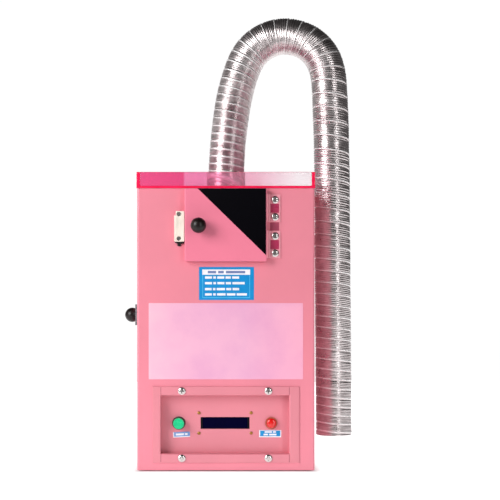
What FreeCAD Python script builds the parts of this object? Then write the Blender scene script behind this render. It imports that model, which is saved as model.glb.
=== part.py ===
import FreeCAD
import Part

import math
import os
import re

import Sketcher
from FreeCAD import Placement, Rotation, Vector

# Millimetres. +X to the right, +Y to the back, +Z up. The origin is on the floor, under the middle of
# the cabinet. The glides stand on z = 0.

DIMS = [
    ("cab_width", 252, "cabinet, left to right"),
    ("cab_depth", 240, "cabinet, front to back"),
    ("cab_height", 400, "cabinet body, without glides and gallery"),
    ("glide_height", 1.5, "nylon glide under the base"),
    ("sheet_gauge", 1.2, "folded steel sheet"),
    ("bend_radius", 3, "outside radius of the folded front corners"),
    ("rear_flange", 16, "return flange at the back of each side"),
    ("side_x", "=cab_width / 2", "outer face of a side"),
    ("front_y", "=-cab_depth / 2", "front face"),
    ("back_y", "=cab_depth / 2", "back face of the return flanges"),
    ("cab_top", "=glide_height + cab_height", "top of the cabinet"),
    ("in_x", "=side_x - sheet_gauge", "inner face of a side"),
    ("in_y", "=front_y + sheet_gauge", "inner face of the front"),
    ("fit_gap", 0.2, "clearance between fitted sheets"),
    ("gallery_height", 23, "clear gallery on top"),
    ("gallery_wall", 5, "thickness of its rails"),
    ("gallery_floor", 3, "thickness of its floor"),
    ("gallery_x", 126.8, "outer face of the side rails"),
    ("gallery_y", 122, "outer face of the end rails"),
    ("gallery_top", "=cab_top + gallery_height", "top of the rails"),
    ("door_width", 116, "hopper door, left to right"),
    ("door_low", 297.6, "bottom edge of the hopper door"),
    ("door_high", 400.5, "top edge of the hopper door"),
    ("door_back", 120.5, "distance of the door's back edge in front of the middle"),
    ("door_proud", 9.8, "depth of the folded door pan"),
    ("door_face", "=door_back + door_proud", "distance of the door's front face from the middle"),
    ("door_mid", "=(door_low + door_high) / 2", "middle height of the door"),
    ("mouth_x", 50, "half width of the mouth behind the door"),
    ("mouth_low", 306.5, "bottom of the mouth"),
    ("mouth_high", 392, "top of the mouth"),
    ("pin_x", 60.5, "hinge axis"),
    ("pin_y", -122.6, "hinge axis"),
    ("pin_radius", 1.4, "hinge pin"),
    ("knuckle_radius", 2.5, "hinge knuckle"),
    ("leaf_gauge", 1.2, "hinge leaf"),
    ("leaf_height", 39, "hinge leaf"),
    ("leaf_reach", 77.3, "outer edge of the frame leaves"),
    ("hinge_high", 372.9, "middle of the upper hinge"),
    ("hinge_low", 321.5, "middle of the lower hinge"),
    ("hinge_screw_x", 69.6, "screws of the frame leaves"),
    ("hinge_screw_pitch", 12.1, "each screw above or below the middle of its hinge"),
    ("knob_radius", 11, "ball knob"),
    ("knob_x", -38.4, "door knob"),
    ("knob_z", 347.2, "door knob"),
    ("switch_x", -66.2, "screws and lead of the door switch"),
    ("switch_screw_high", 364.2, "upper screw of the door switch"),
    ("switch_screw_low", 329.8, "lower screw of the door switch"),
    ("lead_z", 322, "hole for the door switch's lead"),
    ("panel_x", 104, "half width of the control panel"),
    ("panel_low", 12, "bottom edge of the control panel"),
    ("panel_high", 120.6, "top edge of the control panel"),
    ("panel_mid", "=(panel_low + panel_high) / 2", "middle height of the control panel"),
    ("panel_proud", 1.5, "flange of the control panel in front of the cabinet"),
    ("panel_shift", -1.1, "middle of the recess, a little left of the panel's middle"),
    ("control_z", "=panel_mid + 1", "height of the display, lamp and button"),
    ("recess_x", 91, "half width of the recess"),
    ("recess_height", 82.6, "height of the recess"),
    ("recess_depth", 15.3, "flange face to recess floor"),
    ("floor_y", "=front_y - panel_proud + recess_depth", "front of the recess floor"),
    ("panel_screw_x", 61.3, "panel screws"),
    ("panel_screw_z", 47.6, "panel screws above and below the middle"),
    ("lcd_width", 70, "display window"),
    ("lcd_height", 17, "display window"),
    ("lcd_hole_x", 37.3, "display module hole, half pitch"),
    ("lcd_hole_z", 14.5, "display module hole, half pitch"),
    ("control_x", 66.1, "lamp and button either side of the recess's middle"),
    ("lens_radius", 8, "lamp lens"),
    ("cap_radius", 6.9, "start button cap"),
    ("cap_travel", 2.5, "start button stroke"),
    ("slot_y", 88, "half width of the ash drawer slot"),
    ("slot_low", 209.8, "bottom of the ash drawer slot"),
    ("slot_high", 234.2, "top of the ash drawer slot"),
    ("shelf_top", 209, "shelf under the ash drawer"),
    ("runner_top", 210.2, "running face of the drawer guides"),
    ("tray_low", 210.5, "bottom of the ash tray"),
    ("tray_high", 233, "rim of the ash tray"),
    ("tray_y", 87.3, "half width of the ash tray"),
    ("tray_end", 84.5, "inner end of the ash tray"),
    ("drawer_gasket_x", -127.5, "outer face of the drawer gasket"),
    ("drawer_face_x", -130.5, "outer face of the drawer front"),
    ("drawer_y", 95, "half width of the drawer front"),
    ("drawer_low", 207, "bottom of the drawer front"),
    ("drawer_high", 237, "top of the drawer front"),
    ("drawer_mid", "=(drawer_low + drawer_high) / 2", "middle height of the drawer"),
    ("liner_gauge", 1.5, "stainless burning chamber"),
    ("liner_x", 72, "half width of the chamber"),
    ("liner_front", "=in_y + 6", "front of the chamber, clear of the screws in the front sheet"),
    ("liner_back", 100, "back of the chamber"),
    ("liner_low", 238, "bottom of the chamber"),
    ("liner_high", 395, "top of the chamber"),
    ("spigot_radius", 26.7, "flue spigot, outside"),
    ("spigot_gauge", 1.2, "flue spigot wall"),
    ("spigot_top", 440, "flue spigot"),
    ("duct_start", 407, "lower end of the duct, on the spigot's bead"),
    ("duct_radius", 27.5, "duct, outside"),
    ("duct_gauge", 0.6, "duct wall"),
    ("fan_x", 55, "cooling fan"),
    ("fan_z", 148, "cooling fan"),
    ("fan_half", 30, "half size of the fan frame"),
    ("fan_depth", 25, "fan frame, front to back"),
    ("gland_x", -80, "cable gland"),
    ("gland_z", 35, "cable gland"),
    ("cable_radius", 3.75, "hole through the cable gland"),
    ("fixing_x", 90, "wall fixing holes, half pitch"),
    ("fixing_low", 60, "lower wall fixing holes"),
    ("fixing_high", 340, "upper wall fixing holes"),
    ("fixing_radius", 3.25, "wall fixing holes"),
]

# Corners of the duct's straight runs: along the centreline from the spigot to the free end.
ROUTE = [
    (0, 0, 407), (0, 0, 455), (10, 0, 547), (29, 2, 612), (57, 4, 641), (95, 5, 650), (132, 4, 636),
    (155, 2, 604), (159, 0, 550), (162, -1, 449), (163, 2, 310), (164, 0, 170), (165, 2, 40),
]
BEND_SHARE = 0.45

doc = FreeCAD.newDocument("SanitaryWasteIncinerator")
sheet = doc.addObject("Spreadsheet::Sheet", "Dims")
for row, (alias, value, meaning) in enumerate(DIMS, start=1):
    sheet.set(f"A{row}", meaning)
    sheet.set(f"B{row}", str(value))
    sheet.setAlias(f"B{row}", alias)
doc.recompute()

nodes = []
AXES = {
    "+x": Rotation(Vector(0, 1, 0), 90),
    "-x": Rotation(Vector(0, 1, 0), -90),
    "+y": Rotation(Vector(1, 0, 0), -90),
    "-y": Rotation(Vector(1, 0, 0), 90),
    "+z": Rotation(),
    "-z": Rotation(Vector(1, 0, 0), 180),
}


def ex(text):
    """The expression with every dimension name looked up in the spreadsheet."""
    return re.sub(r"\b([a-z]+(?:_[a-z]+)+)\b", r"Dims.\1", str(text))


def minus(text):
    return f"-({text})"


def both(half):
    """Low and high end of a span that is centred on zero."""
    return minus(half), half


def around(middle, half):
    return f"{middle} - ({half})", f"{middle} + ({half})"


def place(obj, at, axis="+z"):
    obj.Placement = Placement(Vector(), AXES[axis])
    for letter, text in zip("xyz", at):
        obj.setExpression(f"Placement.Base.{letter}", ex(text))
    return obj


def block(name, xs, ys, zs):
    obj = doc.addObject("Part::Box", name)
    for prop, (low, high) in zip(("Length", "Width", "Height"), (xs, ys, zs)):
        obj.setExpression(prop, ex(f"({high}) - ({low})"))
    return place(obj, (xs[0], ys[0], zs[0]))


def rod(name, radius, length, at, axis="+z"):
    obj = doc.addObject("Part::Cylinder", name)
    obj.setExpression("Radius", ex(radius))
    obj.setExpression("Height", ex(length))
    return place(obj, at, axis)


def ball(name, radius, at):
    obj = doc.addObject("Part::Sphere", name)
    obj.setExpression("Radius", ex(radius))
    return place(obj, at)


def dome(name, radius, height, at, axis):
    """A shallow round head, standing on its flat side."""
    curve = (radius * radius + height * height) / (2 * height)
    sink = curve - height
    obj = doc.addObject("Part::Sphere", name)
    obj.Radius = curve
    obj.Angle1 = math.degrees(math.asin(sink / curve))
    obj.Angle2 = 90
    sign = 1 if axis[0] == "+" else -1
    shifted = [
        f"{text} - ({sign * sink:.5f})" if letter == axis[1] else text
        for letter, text in zip("xyz", at)
    ]
    return place(obj, shifted, axis)


def fuse(name, parts):
    obj = doc.addObject("Part::MultiFuse", name)
    obj.Shapes = parts
    obj.Refine = True
    return obj


def group(name, parts):
    obj = doc.addObject("Part::Compound", name)
    obj.Links = parts
    return obj


def cut(name, base, tools):
    obj = doc.addObject("Part::Cut", name)
    obj.Base = base
    obj.Tool = tools[0] if len(tools) == 1 else fuse(name + "Tools", tools)
    return obj


def tube(name, outer, inner, length, at, axis="+z"):
    return cut(
        name, rod(name + "Outer", outer, length, at, axis), [rod(name + "Inner", inner, length, at, axis)]
    )


def screw(name, head, rise, shank, length, at, axis):
    """Round-headed screw whose head sits on the point given and whose shank runs back from it."""
    back = ("-" if axis[0] == "+" else "+") + axis[1]
    return fuse(
        name, [dome(name + "Head", head, rise, at, axis), rod(name + "Shank", shank, length, at, back)]
    )


def node(obj, label):
    obj.Label = label
    nodes.append(obj)
    return obj


def new_body(name):
    return doc.addObject("PartDesign::Body", name)


def attach(sketch, body, role, centre, offset):
    plane = [feature for feature in body.Origin.OriginFeatures if feature.Role == role][0]
    sketch.AttachmentSupport = (plane, [""])
    sketch.MapMode = "FlatFace"
    for letter, text in zip("xyz", (*centre, offset)):
        sketch.setExpression(f"AttachmentOffset.Base.{letter}", ex(text))


def rectangle(body, name, role, width, height, centre=(0, 0), offset=0):
    """Sketched rectangle, held in the middle by symmetry and sized by two dimensions."""
    sketch = body.newObject("Sketcher::SketchObject", name)
    corners = [Vector(-9, -9, 0), Vector(9, -9, 0), Vector(9, 9, 0), Vector(-9, 9, 0)]
    for start, end in zip(corners, corners[1:] + corners[:1]):
        sketch.addGeometry(Part.LineSegment(start, end))
    for line in range(4):
        sketch.addConstraint(Sketcher.Constraint("Coincident", line, 2, (line + 1) % 4, 1))
    for line in (0, 2):
        sketch.addConstraint(Sketcher.Constraint("Horizontal", line))
        sketch.addConstraint(Sketcher.Constraint("Vertical", line + 1))
    sketch.addConstraint(Sketcher.Constraint("Symmetric", 0, 1, 2, 1, -1, 1))
    across = sketch.addConstraint(Sketcher.Constraint("DistanceX", 0, 1, 0, 2, 18))
    along = sketch.addConstraint(Sketcher.Constraint("DistanceY", 1, 1, 1, 2, 18))
    sketch.setExpression(f"Constraints[{across}]", ex(width))
    sketch.setExpression(f"Constraints[{along}]", ex(height))
    attach(sketch, body, role, centre, offset)
    return sketch


def extrude(body, kind, sketch, length, reverse=False):
    feature = body.newObject(kind, sketch.Name + kind[12:])
    feature.Profile = sketch
    feature.setExpression("Length", ex(length))
    feature.Reversed = reverse
    sketch.Visibility = False
    doc.recompute()
    return feature


def pad(body, sketch, length, reverse=False):
    return extrude(body, "PartDesign::Pad", sketch, length, reverse)


def pocket(body, sketch, length, reverse=False):
    return extrude(body, "PartDesign::Pocket", sketch, length, reverse)


def repeat(body, feature, sketch, direction, span, count):
    pattern = body.newObject("PartDesign::LinearPattern", feature.Name + "Row")
    pattern.Originals = [feature]
    pattern.Direction = (sketch, [direction])
    pattern.setExpression("Length", ex(span))
    pattern.Occurrences = count
    body.Tip = pattern
    doc.recompute()
    return pattern


def soften(body, radius, wanted):
    """Rounds the edges of the body's last feature for which wanted(edge's middle, its direction) holds."""
    last = body.Tip
    names = []
    for number, edge in enumerate(last.Shape.Edges, start=1):
        if edge.Curve.TypeId != "Part::GeomLine":
            continue
        middle = edge.CenterOfMass
        if wanted(middle, edge.tangentAt(edge.FirstParameter)):
            names.append(f"Edge{number}")
    feature = body.newObject("PartDesign::Fillet", body.Name + "Round")
    feature.Base = (last, names)
    feature.setExpression("Radius", ex(radius))
    doc.recompute()
    return feature


def size(alias):
    return float(sheet.get(alias))


# Cabinet: a folded wrap of front and sides, open at the back.

wrap = new_body("Wrap")
wrap_outline = rectangle(wrap, "WrapOutline", "XY_Plane", "cab_width", "cab_depth", offset="glide_height")
pad(wrap, wrap_outline, "cab_height")
soften(wrap, "bend_radius", lambda at, way: abs(way.z) > 0.9 and at.y < 0)
pocket(
    wrap,
    rectangle(wrap, "WrapInside", "XY_Plane", "2 * in_x", "-2 * in_y", offset="cab_top"),
    "cab_height",
)
soften(
    wrap, "bend_radius - sheet_gauge",
    lambda at, way: abs(way.z) > 0.9
    and size("in_y") - 0.01 < at.y < 0
    and abs(at.x) < size("in_x") + 0.01,
)
pocket(
    wrap,
    rectangle(
        wrap, "RearOpening", "XZ_Plane", "2 * (in_x - rear_flange)", "cab_height",
        centre=(0, "glide_height + cab_height / 2"), offset="-back_y",
    ),
    "2 * sheet_gauge", reverse=True,
)
pocket(
    wrap,
    rectangle(
        wrap, "Mouth", "XZ_Plane", "2 * mouth_x", "mouth_high - mouth_low",
        centre=(0, "(mouth_high + mouth_low) / 2"), offset="-front_y",
    ),
    "2 * sheet_gauge",
)
pocket(
    wrap,
    rectangle(
        wrap, "PanelCutOut", "XZ_Plane", "2 * recess_x + 4", "recess_height + 4",
        centre=("panel_shift", "panel_mid"), offset="-front_y",
    ),
    "2 * sheet_gauge",
)
pocket(
    wrap,
    rectangle(
        wrap, "DrawerSlot", "YZ_Plane", "2 * slot_y", "slot_high - slot_low",
        centre=(0, "(slot_high + slot_low) / 2"), offset="-side_x",
    ),
    "2 * sheet_gauge", reverse=True,
)
drilled = []
SWITCH_SCREWS_Z = ("switch_screw_high", "switch_screw_low")
hinge_screws_z = [
    f"{middle} {sign} hinge_screw_pitch" for middle in ("hinge_high", "hinge_low") for sign in "+-"
]
for number, z in enumerate(hinge_screws_z):
    drilled.append(rod(f"HingeHole{number}", 1.9, 4, ("hinge_screw_x", "front_y - 1", z), "+y"))
panel_screws_at = [
    (f"panel_shift {x_sign} panel_screw_x", f"panel_mid {z_sign} panel_screw_z")
    for x_sign in "+-"
    for z_sign in "+-"
]
for number, (x, z) in enumerate(panel_screws_at):
    drilled.append(rod(f"PanelHole{number}", 1.9, 4, (x, "front_y - 1", z), "+y"))
for number, z in enumerate(SWITCH_SCREWS_Z):
    drilled.append(rod(f"SwitchHole{number}", 1.4, 4, ("switch_x", "front_y - 1", z), "+y"))
drilled.append(rod("LeadHole", 2.2, 4, ("switch_x", "front_y - 1", "lead_z"), "+y"))
back_screws_at = [(f"{sign}114", z) for sign in ("", "-") for z in (25, 145, 265, 385)]
for number, (x, z) in enumerate(back_screws_at):
    drilled.append(rod(f"FlangeHole{number}", 2.2, 4, (x, "back_y - 3", z), "+y"))
node(cut("Shell", wrap, drilled), "cabinet_shell")

base = new_body("Base")
pad(
    base,
    rectangle(
        base, "BaseOutline", "XY_Plane", "2 * (in_x - fit_gap)", "-2 * (in_y + fit_gap)",
        offset="glide_height",
    ),
    12,
)
pocket(
    base,
    rectangle(
        base, "BaseInside", "XY_Plane",
        "2 * (in_x - fit_gap - sheet_gauge)", "-2 * (in_y + fit_gap + sheet_gauge)",
        offset="glide_height + 12",
    ),
    "12 - sheet_gauge",
)
glides_at = [(x, y) for x in (-79, 79) for y in (-95, 95)] + [(0, 0)]
stem_holes = [
    rod(f"StemHole{number}", 1.8, 4, (x, y, "glide_height - 1")) for number, (x, y) in enumerate(glides_at)
]
node(cut("BasePan", base, stem_holes), "base_plate")

glides = []
for number, (x, y) in enumerate(glides_at):
    foot = rod(f"GlidePad{number}", 3, "glide_height", (x, y, 0))
    stem = rod(f"GlideStem{number}", 1.7, 3.5, (x, y, "glide_height"))
    glides.append(fuse(f"Glide{number}", [foot, stem]))
node(group("Glides", glides), "base_glides")

lid = new_body("Lid")
pad(
    lid,
    rectangle(
        lid, "LidOutline", "XY_Plane", "2 * (in_x - fit_gap)", "-2 * (in_y + fit_gap)", offset="cab_top - 12"
    ),
    12,
)
pocket(
    lid,
    rectangle(
        lid, "LidInside", "XY_Plane", "2 * (in_x - fit_gap - sheet_gauge)", "-2 * (in_y + fit_gap) ",
        centre=(0, "-sheet_gauge"), offset="cab_top - 12",
    ),
    "12 - sheet_gauge", reverse=True,
)
node(
    cut("LidDrilled", lid, [rod("LidHole", "spigot_radius + 0.3", 6, (0, 0, "cab_top - 3"))]), "top_plate"
)

back = new_body("Back")
pad(
    back,
    rectangle(
        back, "BackOutline", "XZ_Plane", 240, 387, centre=(0, 201.5), offset="-back_y",
    ),
    "sheet_gauge", reverse=True,
)
slot_sketch = rectangle(
    back, "VentSlot", "XZ_Plane", 4, 42, centre=(-20, 45), offset="-back_y - 2 * sheet_gauge"
)
slot = pocket(back, slot_sketch, "4 * sheet_gauge", reverse=True)
slot.Midplane = True
repeat(back, slot, slot_sketch, "H_Axis", 90, 10)
grille = []
for number, (outer, inner) in enumerate(((27, 22.5), (20, 15.5), (13, 8.5))):
    grille.append(
        tube(f"GrilleRing{number}", outer, inner, 6, ("fan_x", "back_y - 2", "fan_z"), "+y")
    )
bars = [
    block("GrilleUpright", around("fan_x", 1.5), ("back_y - 3", "back_y + 5"), around("fan_z", 30)),
    block("GrilleCross", around("fan_x", 30), ("back_y - 3", "back_y + 5"), around("fan_z", 1.5)),
]
back_tools = [cut("GrilleOpenings", fuse("GrilleRings", grille), bars)]
for number, (x, z) in enumerate(back_screws_at):
    back_tools.append(rod(f"BackHole{number}", 2.2, 4, (x, "back_y - 1", z), "+y"))
for number, (x, z) in enumerate([(x, z) for x in both("fixing_x") for z in ("fixing_low", "fixing_high")]):
    back_tools.append(rod(f"FixingHole{number}", "fixing_radius", 4, (x, "back_y - 1", z), "+y"))
back_tools.append(rod("GlandHole", 8.1, 4, ("gland_x", "back_y - 1", "gland_z"), "+y"))
for number, (x, z) in enumerate([(x, z) for x in (-25, 25) for z in (-25, 25)]):
    back_tools.append(rod(f"FanHole{number}", 2.2, 4, (f"fan_x + {x}", "back_y - 1", f"fan_z + {z}"), "+y"))
node(cut("BackDrilled", back, back_tools), "back_panel")

back_face = "back_y + sheet_gauge"
back_screws = [
    screw(f"BackScrew{number}", 4, 2.2, 2, 6, (x, back_face, z), "+y")
    for number, (x, z) in enumerate(back_screws_at)
]
node(group("BackScrews", back_screws), "cabinet_screws")

# Clear gallery on top.

gallery_floor = block(
    "GalleryFloor", both("gallery_x"), both("gallery_y"), ("cab_top", "cab_top + gallery_floor")
)
gallery_hole = rod("GalleryHole", 31, 6, (0, 0, "cab_top - 1"))
node(cut("GalleryFloorDrilled", gallery_floor, [gallery_hole]), "acrylic_floor")
rail_z = ("cab_top + gallery_floor", "gallery_top")
rail_ends = both("gallery_x - gallery_wall")
for side, xs in (
    ("left", ("-gallery_x", "-gallery_x + gallery_wall")),
    ("right", ("gallery_x - gallery_wall", "gallery_x")),
):
    node(block(f"Rail{side}", xs, both("gallery_y"), rail_z), f"acrylic_{side}_rail")
for side, ys in (
    ("front", ("-gallery_y", "-gallery_y + gallery_wall")),
    ("back", ("gallery_y - gallery_wall", "gallery_y")),
):
    node(block(f"Rail{side}", rail_ends, ys, rail_z), f"acrylic_{side}_rail")

# Control panel: a pan let into the front.

pan = new_body("Pan")
pan_face = "-front_y + panel_proud"
pad(
    pan,
    rectangle(
        pan, "PanFlange", "XZ_Plane", "2 * panel_x", "panel_high - panel_low", centre=(0, "panel_mid"),
        offset="-front_y",
    ),
    "panel_proud",
)
pad(
    pan,
    rectangle(
        pan, "PanTub", "XZ_Plane", "2 * (recess_x + sheet_gauge)", "recess_height + 2 * sheet_gauge",
        centre=("panel_shift", "panel_mid"), offset="-front_y",
    ),
    "recess_depth - panel_proud + sheet_gauge", reverse=True,
)
soften(
    pan, 0.7,
    lambda at, way: at.y < size("front_y") - size("panel_proud") + 0.01,
)
pocket(
    pan,
    rectangle(
        pan, "PanRecess", "XZ_Plane", "2 * recess_x", "recess_height", centre=("panel_shift", "panel_mid"),
        offset=pan_face,
    ),
    "recess_depth",
)
soften(
    pan, 2,
    lambda at, way: at.y < size("front_y") - size("panel_proud") + 0.01
    and abs(at.x - size("panel_shift")) < size("recess_x") + 0.01
    and abs(at.z - size("panel_mid")) < size("recess_height") / 2 + 0.01,
)
seam_y = around("front_y - panel_proud", 0.25)
seams = [
    block(f"Seam{number}", around(f"panel_shift {x_sign} recess_x", 0.15), seam_y, (low, high))
    for number, (x_sign, low, high) in enumerate(
        (x_sign, low, high)
        for x_sign in "+-"
        for low, high in (
            ("panel_low - 1", "panel_mid - recess_height / 2"),
            ("panel_mid + recess_height / 2", "panel_high + 1"),
        )
    )
]
pan_tools = list(seams)
pan_tools.append(
    block(
        "LcdWindow", around("panel_shift", "lcd_width / 2"), ("floor_y - 1", "floor_y + 3"),
        around("control_z", "lcd_height / 2"),
    )
)
for number, (x, z) in enumerate(panel_screws_at):
    pan_tools.append(rod(f"PanHole{number}", 2.2, 4, (x, "front_y - 3", z), "+y"))
lcd_holes_at = [
    (f"panel_shift {x_sign} lcd_hole_x", f"control_z {z_sign} lcd_hole_z")
    for x_sign in "+-"
    for z_sign in "+-"
]
for number, (x, z) in enumerate(lcd_holes_at):
    pan_tools.append(rod(f"LcdHole{number}", 1.4, 4, (x, "floor_y - 1", z), "+y"))
pan_tools.append(
    rod("LampHole", "lens_radius + 0.1", 4, ("panel_shift - control_x", "floor_y - 1", "control_z"), "+y")
)
pan_tools.append(rod("ButtonHole", 8.2, 4, ("panel_shift + control_x", "floor_y - 1", "control_z"), "+y"))
node(cut("PanDrilled", pan, pan_tools), "control_panel")

panel_screws = [
    screw(f"PanelScrew{number}", 5.4, 2.6, 1.8, 7, (x, "front_y - panel_proud", z), "-y")
    for number, (x, z) in enumerate(panel_screws_at)
]
node(group("PanelScrews", panel_screws), "panel_screws")

floor_back = "floor_y + sheet_gauge"
frame_z = around("control_z", 12)
bezel = block("LcdFrame", around("panel_shift", 35.5), (floor_back, f"{floor_back} + 7"), frame_z)
bezel_window = block(
    "LcdFrameWindow",
    around("panel_shift", 32.3), (f"{floor_back} - 1", f"{floor_back} + 8"), around("control_z", 8),
)
node(cut("LcdBezel", bezel, [bezel_window]), "lcd_bezel")
node(
    block(
        "LcdGlass", around("panel_shift", 32.2), (f"{floor_back} + 0.6", f"{floor_back} + 6.8"),
        around("control_z", 7.9),
    ),
    "lcd_glass",
)
board = block(
    "LcdBoard",
    around("panel_shift", 40), (f"{floor_back} + 7", f"{floor_back} + 8.6"), around("control_z", 18),
)
board_holes = [
    rod(f"BoardHole{number}", 1.4, 4, (x, f"{floor_back} + 6", z), "+y")
    for number, (x, z) in enumerate(lcd_holes_at)
]
node(cut("LcdBoardDrilled", board, board_holes), "lcd_board")
lcd_screws = [
    screw(f"LcdScrew{number}", 2.3, 1.4, 1.25, 12, (x, "floor_y", z), "-y")
    for number, (x, z) in enumerate(lcd_holes_at)
]
node(group("LcdScrews", lcd_screws), "lcd_screws")

lamp_at = ("panel_shift - control_x", "floor_y", "control_z")
lamp_ring = rod("LampRing", 9.5, 2.2, lamp_at, "-y")
lamp_barrel = rod("LampBarrel", "lens_radius - 0.1", 18, lamp_at, "+y")
node(fuse("LampBezel", [lamp_ring, lamp_barrel]), "lamp_bezel")
lens_at = ("panel_shift - control_x", "floor_y - 2.2", "control_z")
lens_front = ("panel_shift - control_x", "floor_y - 10", "control_z")
node(
    fuse(
        "LampLens",
        [rod("LensWall", "lens_radius", 7.8, lens_at, "-y"), dome("LensFront", 8, 1.6, lens_front, "-y")],
    ),
    "lamp_lens",
)

button_at = ("panel_shift + control_x", "floor_y", "control_z")
button_ring = fuse(
    "ButtonHousing",
    [rod("ButtonRing", 8.8, 2.4, button_at, "-y"), rod("ButtonBarrel", 8, 19, button_at, "+y")],
)
button_bore = rod(
    "ButtonBore", "cap_radius + 0.08", 19.4, ("panel_shift + control_x", "floor_y - 2.4", "control_z"), "+y"
)
node(cut("ButtonBezel", button_ring, [button_bore]), "button_bezel")
cap_at = ("panel_shift + control_x", "floor_y - 6.5", "control_z")
cap_wall = rod("CapWall", "cap_radius", 14.5, cap_at, "+y")
cap_front = dome("CapFront", 6.9, 1.2, cap_at, "-y")
node(fuse("ButtonCap", [cap_wall, cap_front]), "button_cap")

# Labels and sticker.

LABELS = (
    ("lamp_label", -63.4, 50.8, 24, 7.6, "floor_y"),
    ("button_label", 63.4, 52, 31.6, 10.2, "floor_y"),
    ("operating_label", 0.9, 266.4, 78, 46.8, "front_y"),
    ("front_sticker", 0, 184.6, 218.8, 108, "front_y"),
)
for label, x, z, width, height, face in LABELS:
    plate = block(
        label.title().replace("_", ""), around(x, width / 2), (f"{face} - 0.2", face), around(z, height / 2)
    )
    node(plate, label)

# Hopper door and its hinges.

skin = new_body("Skin")
door_height = "door_high - door_low"
pad(
    skin,
    rectangle(
        skin, "SkinOutline", "XZ_Plane", "door_width", door_height, centre=(0, "door_mid"), offset="door_back"
    ),
    "door_proud",
)
soften(skin, 1.5, lambda at, way: abs(way.y) > 0.9)
soften(skin, 1.2, lambda at, way: at.y < -size("door_face") + 0.01)
pocket(
    skin,
    rectangle(
        skin, "SkinInside", "XZ_Plane", "door_width - 2 * sheet_gauge", f"{door_height} - 2 * sheet_gauge",
        centre=(0, "door_mid"), offset="door_back",
    ),
    "door_proud - sheet_gauge", reverse=True,
)
stud_hole = rod("StudHole", 3.1, 4, ("knob_x", "-door_face - 1", "knob_z"), "+y")
node(cut("SkinDrilled", skin, [stud_hole]), "door_skin")

trim = new_body("Trim")
trim_sketch = trim.newObject("Sketcher::SketchObject", "TrimOutline")
trim_sketch.addGeometry(Part.LineSegment(Vector(0, 0, 0), Vector(90, 0, 0)))
trim_sketch.addGeometry(Part.LineSegment(Vector(90, 0, 0), Vector(90, -90, 0)))
trim_sketch.addGeometry(Part.LineSegment(Vector(90, -90, 0), Vector(0, 0, 0)))
for line in range(3):
    trim_sketch.addConstraint(Sketcher.Constraint("Coincident", line, 2, (line + 1) % 3, 1))
trim_sketch.addConstraint(Sketcher.Constraint("Horizontal", 0))
trim_sketch.addConstraint(Sketcher.Constraint("Vertical", 1))
trim_sketch.addConstraint(Sketcher.Constraint("Coincident", 0, 1, -1, 1))
across = trim_sketch.addConstraint(Sketcher.Constraint("DistanceX", 0, 1, 0, 2, 90))
down = trim_sketch.addConstraint(Sketcher.Constraint("DistanceY", 1, 2, 1, 1, 90))
trim_sketch.setExpression(f"Constraints[{across}]", "96.4")
trim_sketch.setExpression(f"Constraints[{down}]", ex("door_high - 1.2 - 306"))
attach(trim_sketch, trim, "XZ_Plane", (-39.8, "door_high - 1.2"), "door_face")
pad(trim, trim_sketch, 0.8)
trim_screw = rod("TrimKnobClearance", 5.4, 4, ("knob_x", "-door_face - 2", "knob_z"), "+y")
node(cut("TrimCut", trim, [trim_screw]), "door_trim")

lining_x = "door_width / 2 - sheet_gauge - fit_gap"
lining_z = ("door_low + sheet_gauge + fit_gap", "door_high - sheet_gauge - fit_gap")
stud_room = rod("StudRoom", 6, 8, ("knob_x", "-door_face", "knob_z"), "+y")
magnet_room = block("MagnetRoom", ("-57", "-49.5"), ("-door_face + 1", "-door_back"), around("knob_z", 10.5))
wadding = block("Wadding", both(lining_x), ("-door_face + sheet_gauge", "-door_back - 3"), lining_z)
node(cut("WaddingCut", wadding, [stud_room, magnet_room]), "door_insulation")
node(
    block("MagnetBar", ("-56", "-50"), ("-door_face + sheet_gauge", "-door_back - 3"), around("knob_z", 10)),
    "door_magnet",
)
node(block("DoorLining", both(lining_x), ("-door_back - 3", "-door_back - 2"), lining_z), "door_liner")
seal_y = ("-door_back - 2", "front_y - 0.05")
seal_outer = block("SealOuter", both("mouth_x + 5.5"), seal_y, ("mouth_low - 5.3", "mouth_high + 5.3"))
seal_inner = block(
    "SealInner",
    both("mouth_x + 1.5"), ("-door_back - 3", "front_y + 1"), ("mouth_low - 1.3", "mouth_high + 1.3"),
)
node(cut("Seal", seal_outer, [seal_inner]), "door_gasket")

knob_centre_y = "-door_face - knob_radius - 1.6"
knob_neck = rod("KnobNeck", 5.2, 5, ("knob_x", "-door_face", "knob_z"), "-y")
knob_bore = rod("KnobBore", 3, 10, ("knob_x", "-door_face", "knob_z"), "-y")
knob = cut(
    "KnobBored",
    fuse("KnobBlank", [ball("KnobBall", "knob_radius", ("knob_x", knob_centre_y, "knob_z")), knob_neck]),
    [knob_bore],
)
stud_head = rod("StudHead", 5, 3, ("knob_x", "-door_face + sheet_gauge", "knob_z"), "+y")
stud_shank = rod("StudShank", 3, "sheet_gauge + 10", ("knob_x", "-door_face + sheet_gauge", "knob_z"), "-y")
node(group("KnobAndStud", [knob, fuse("KnobStud", [stud_head, stud_shank])]), "door_knob")

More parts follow.
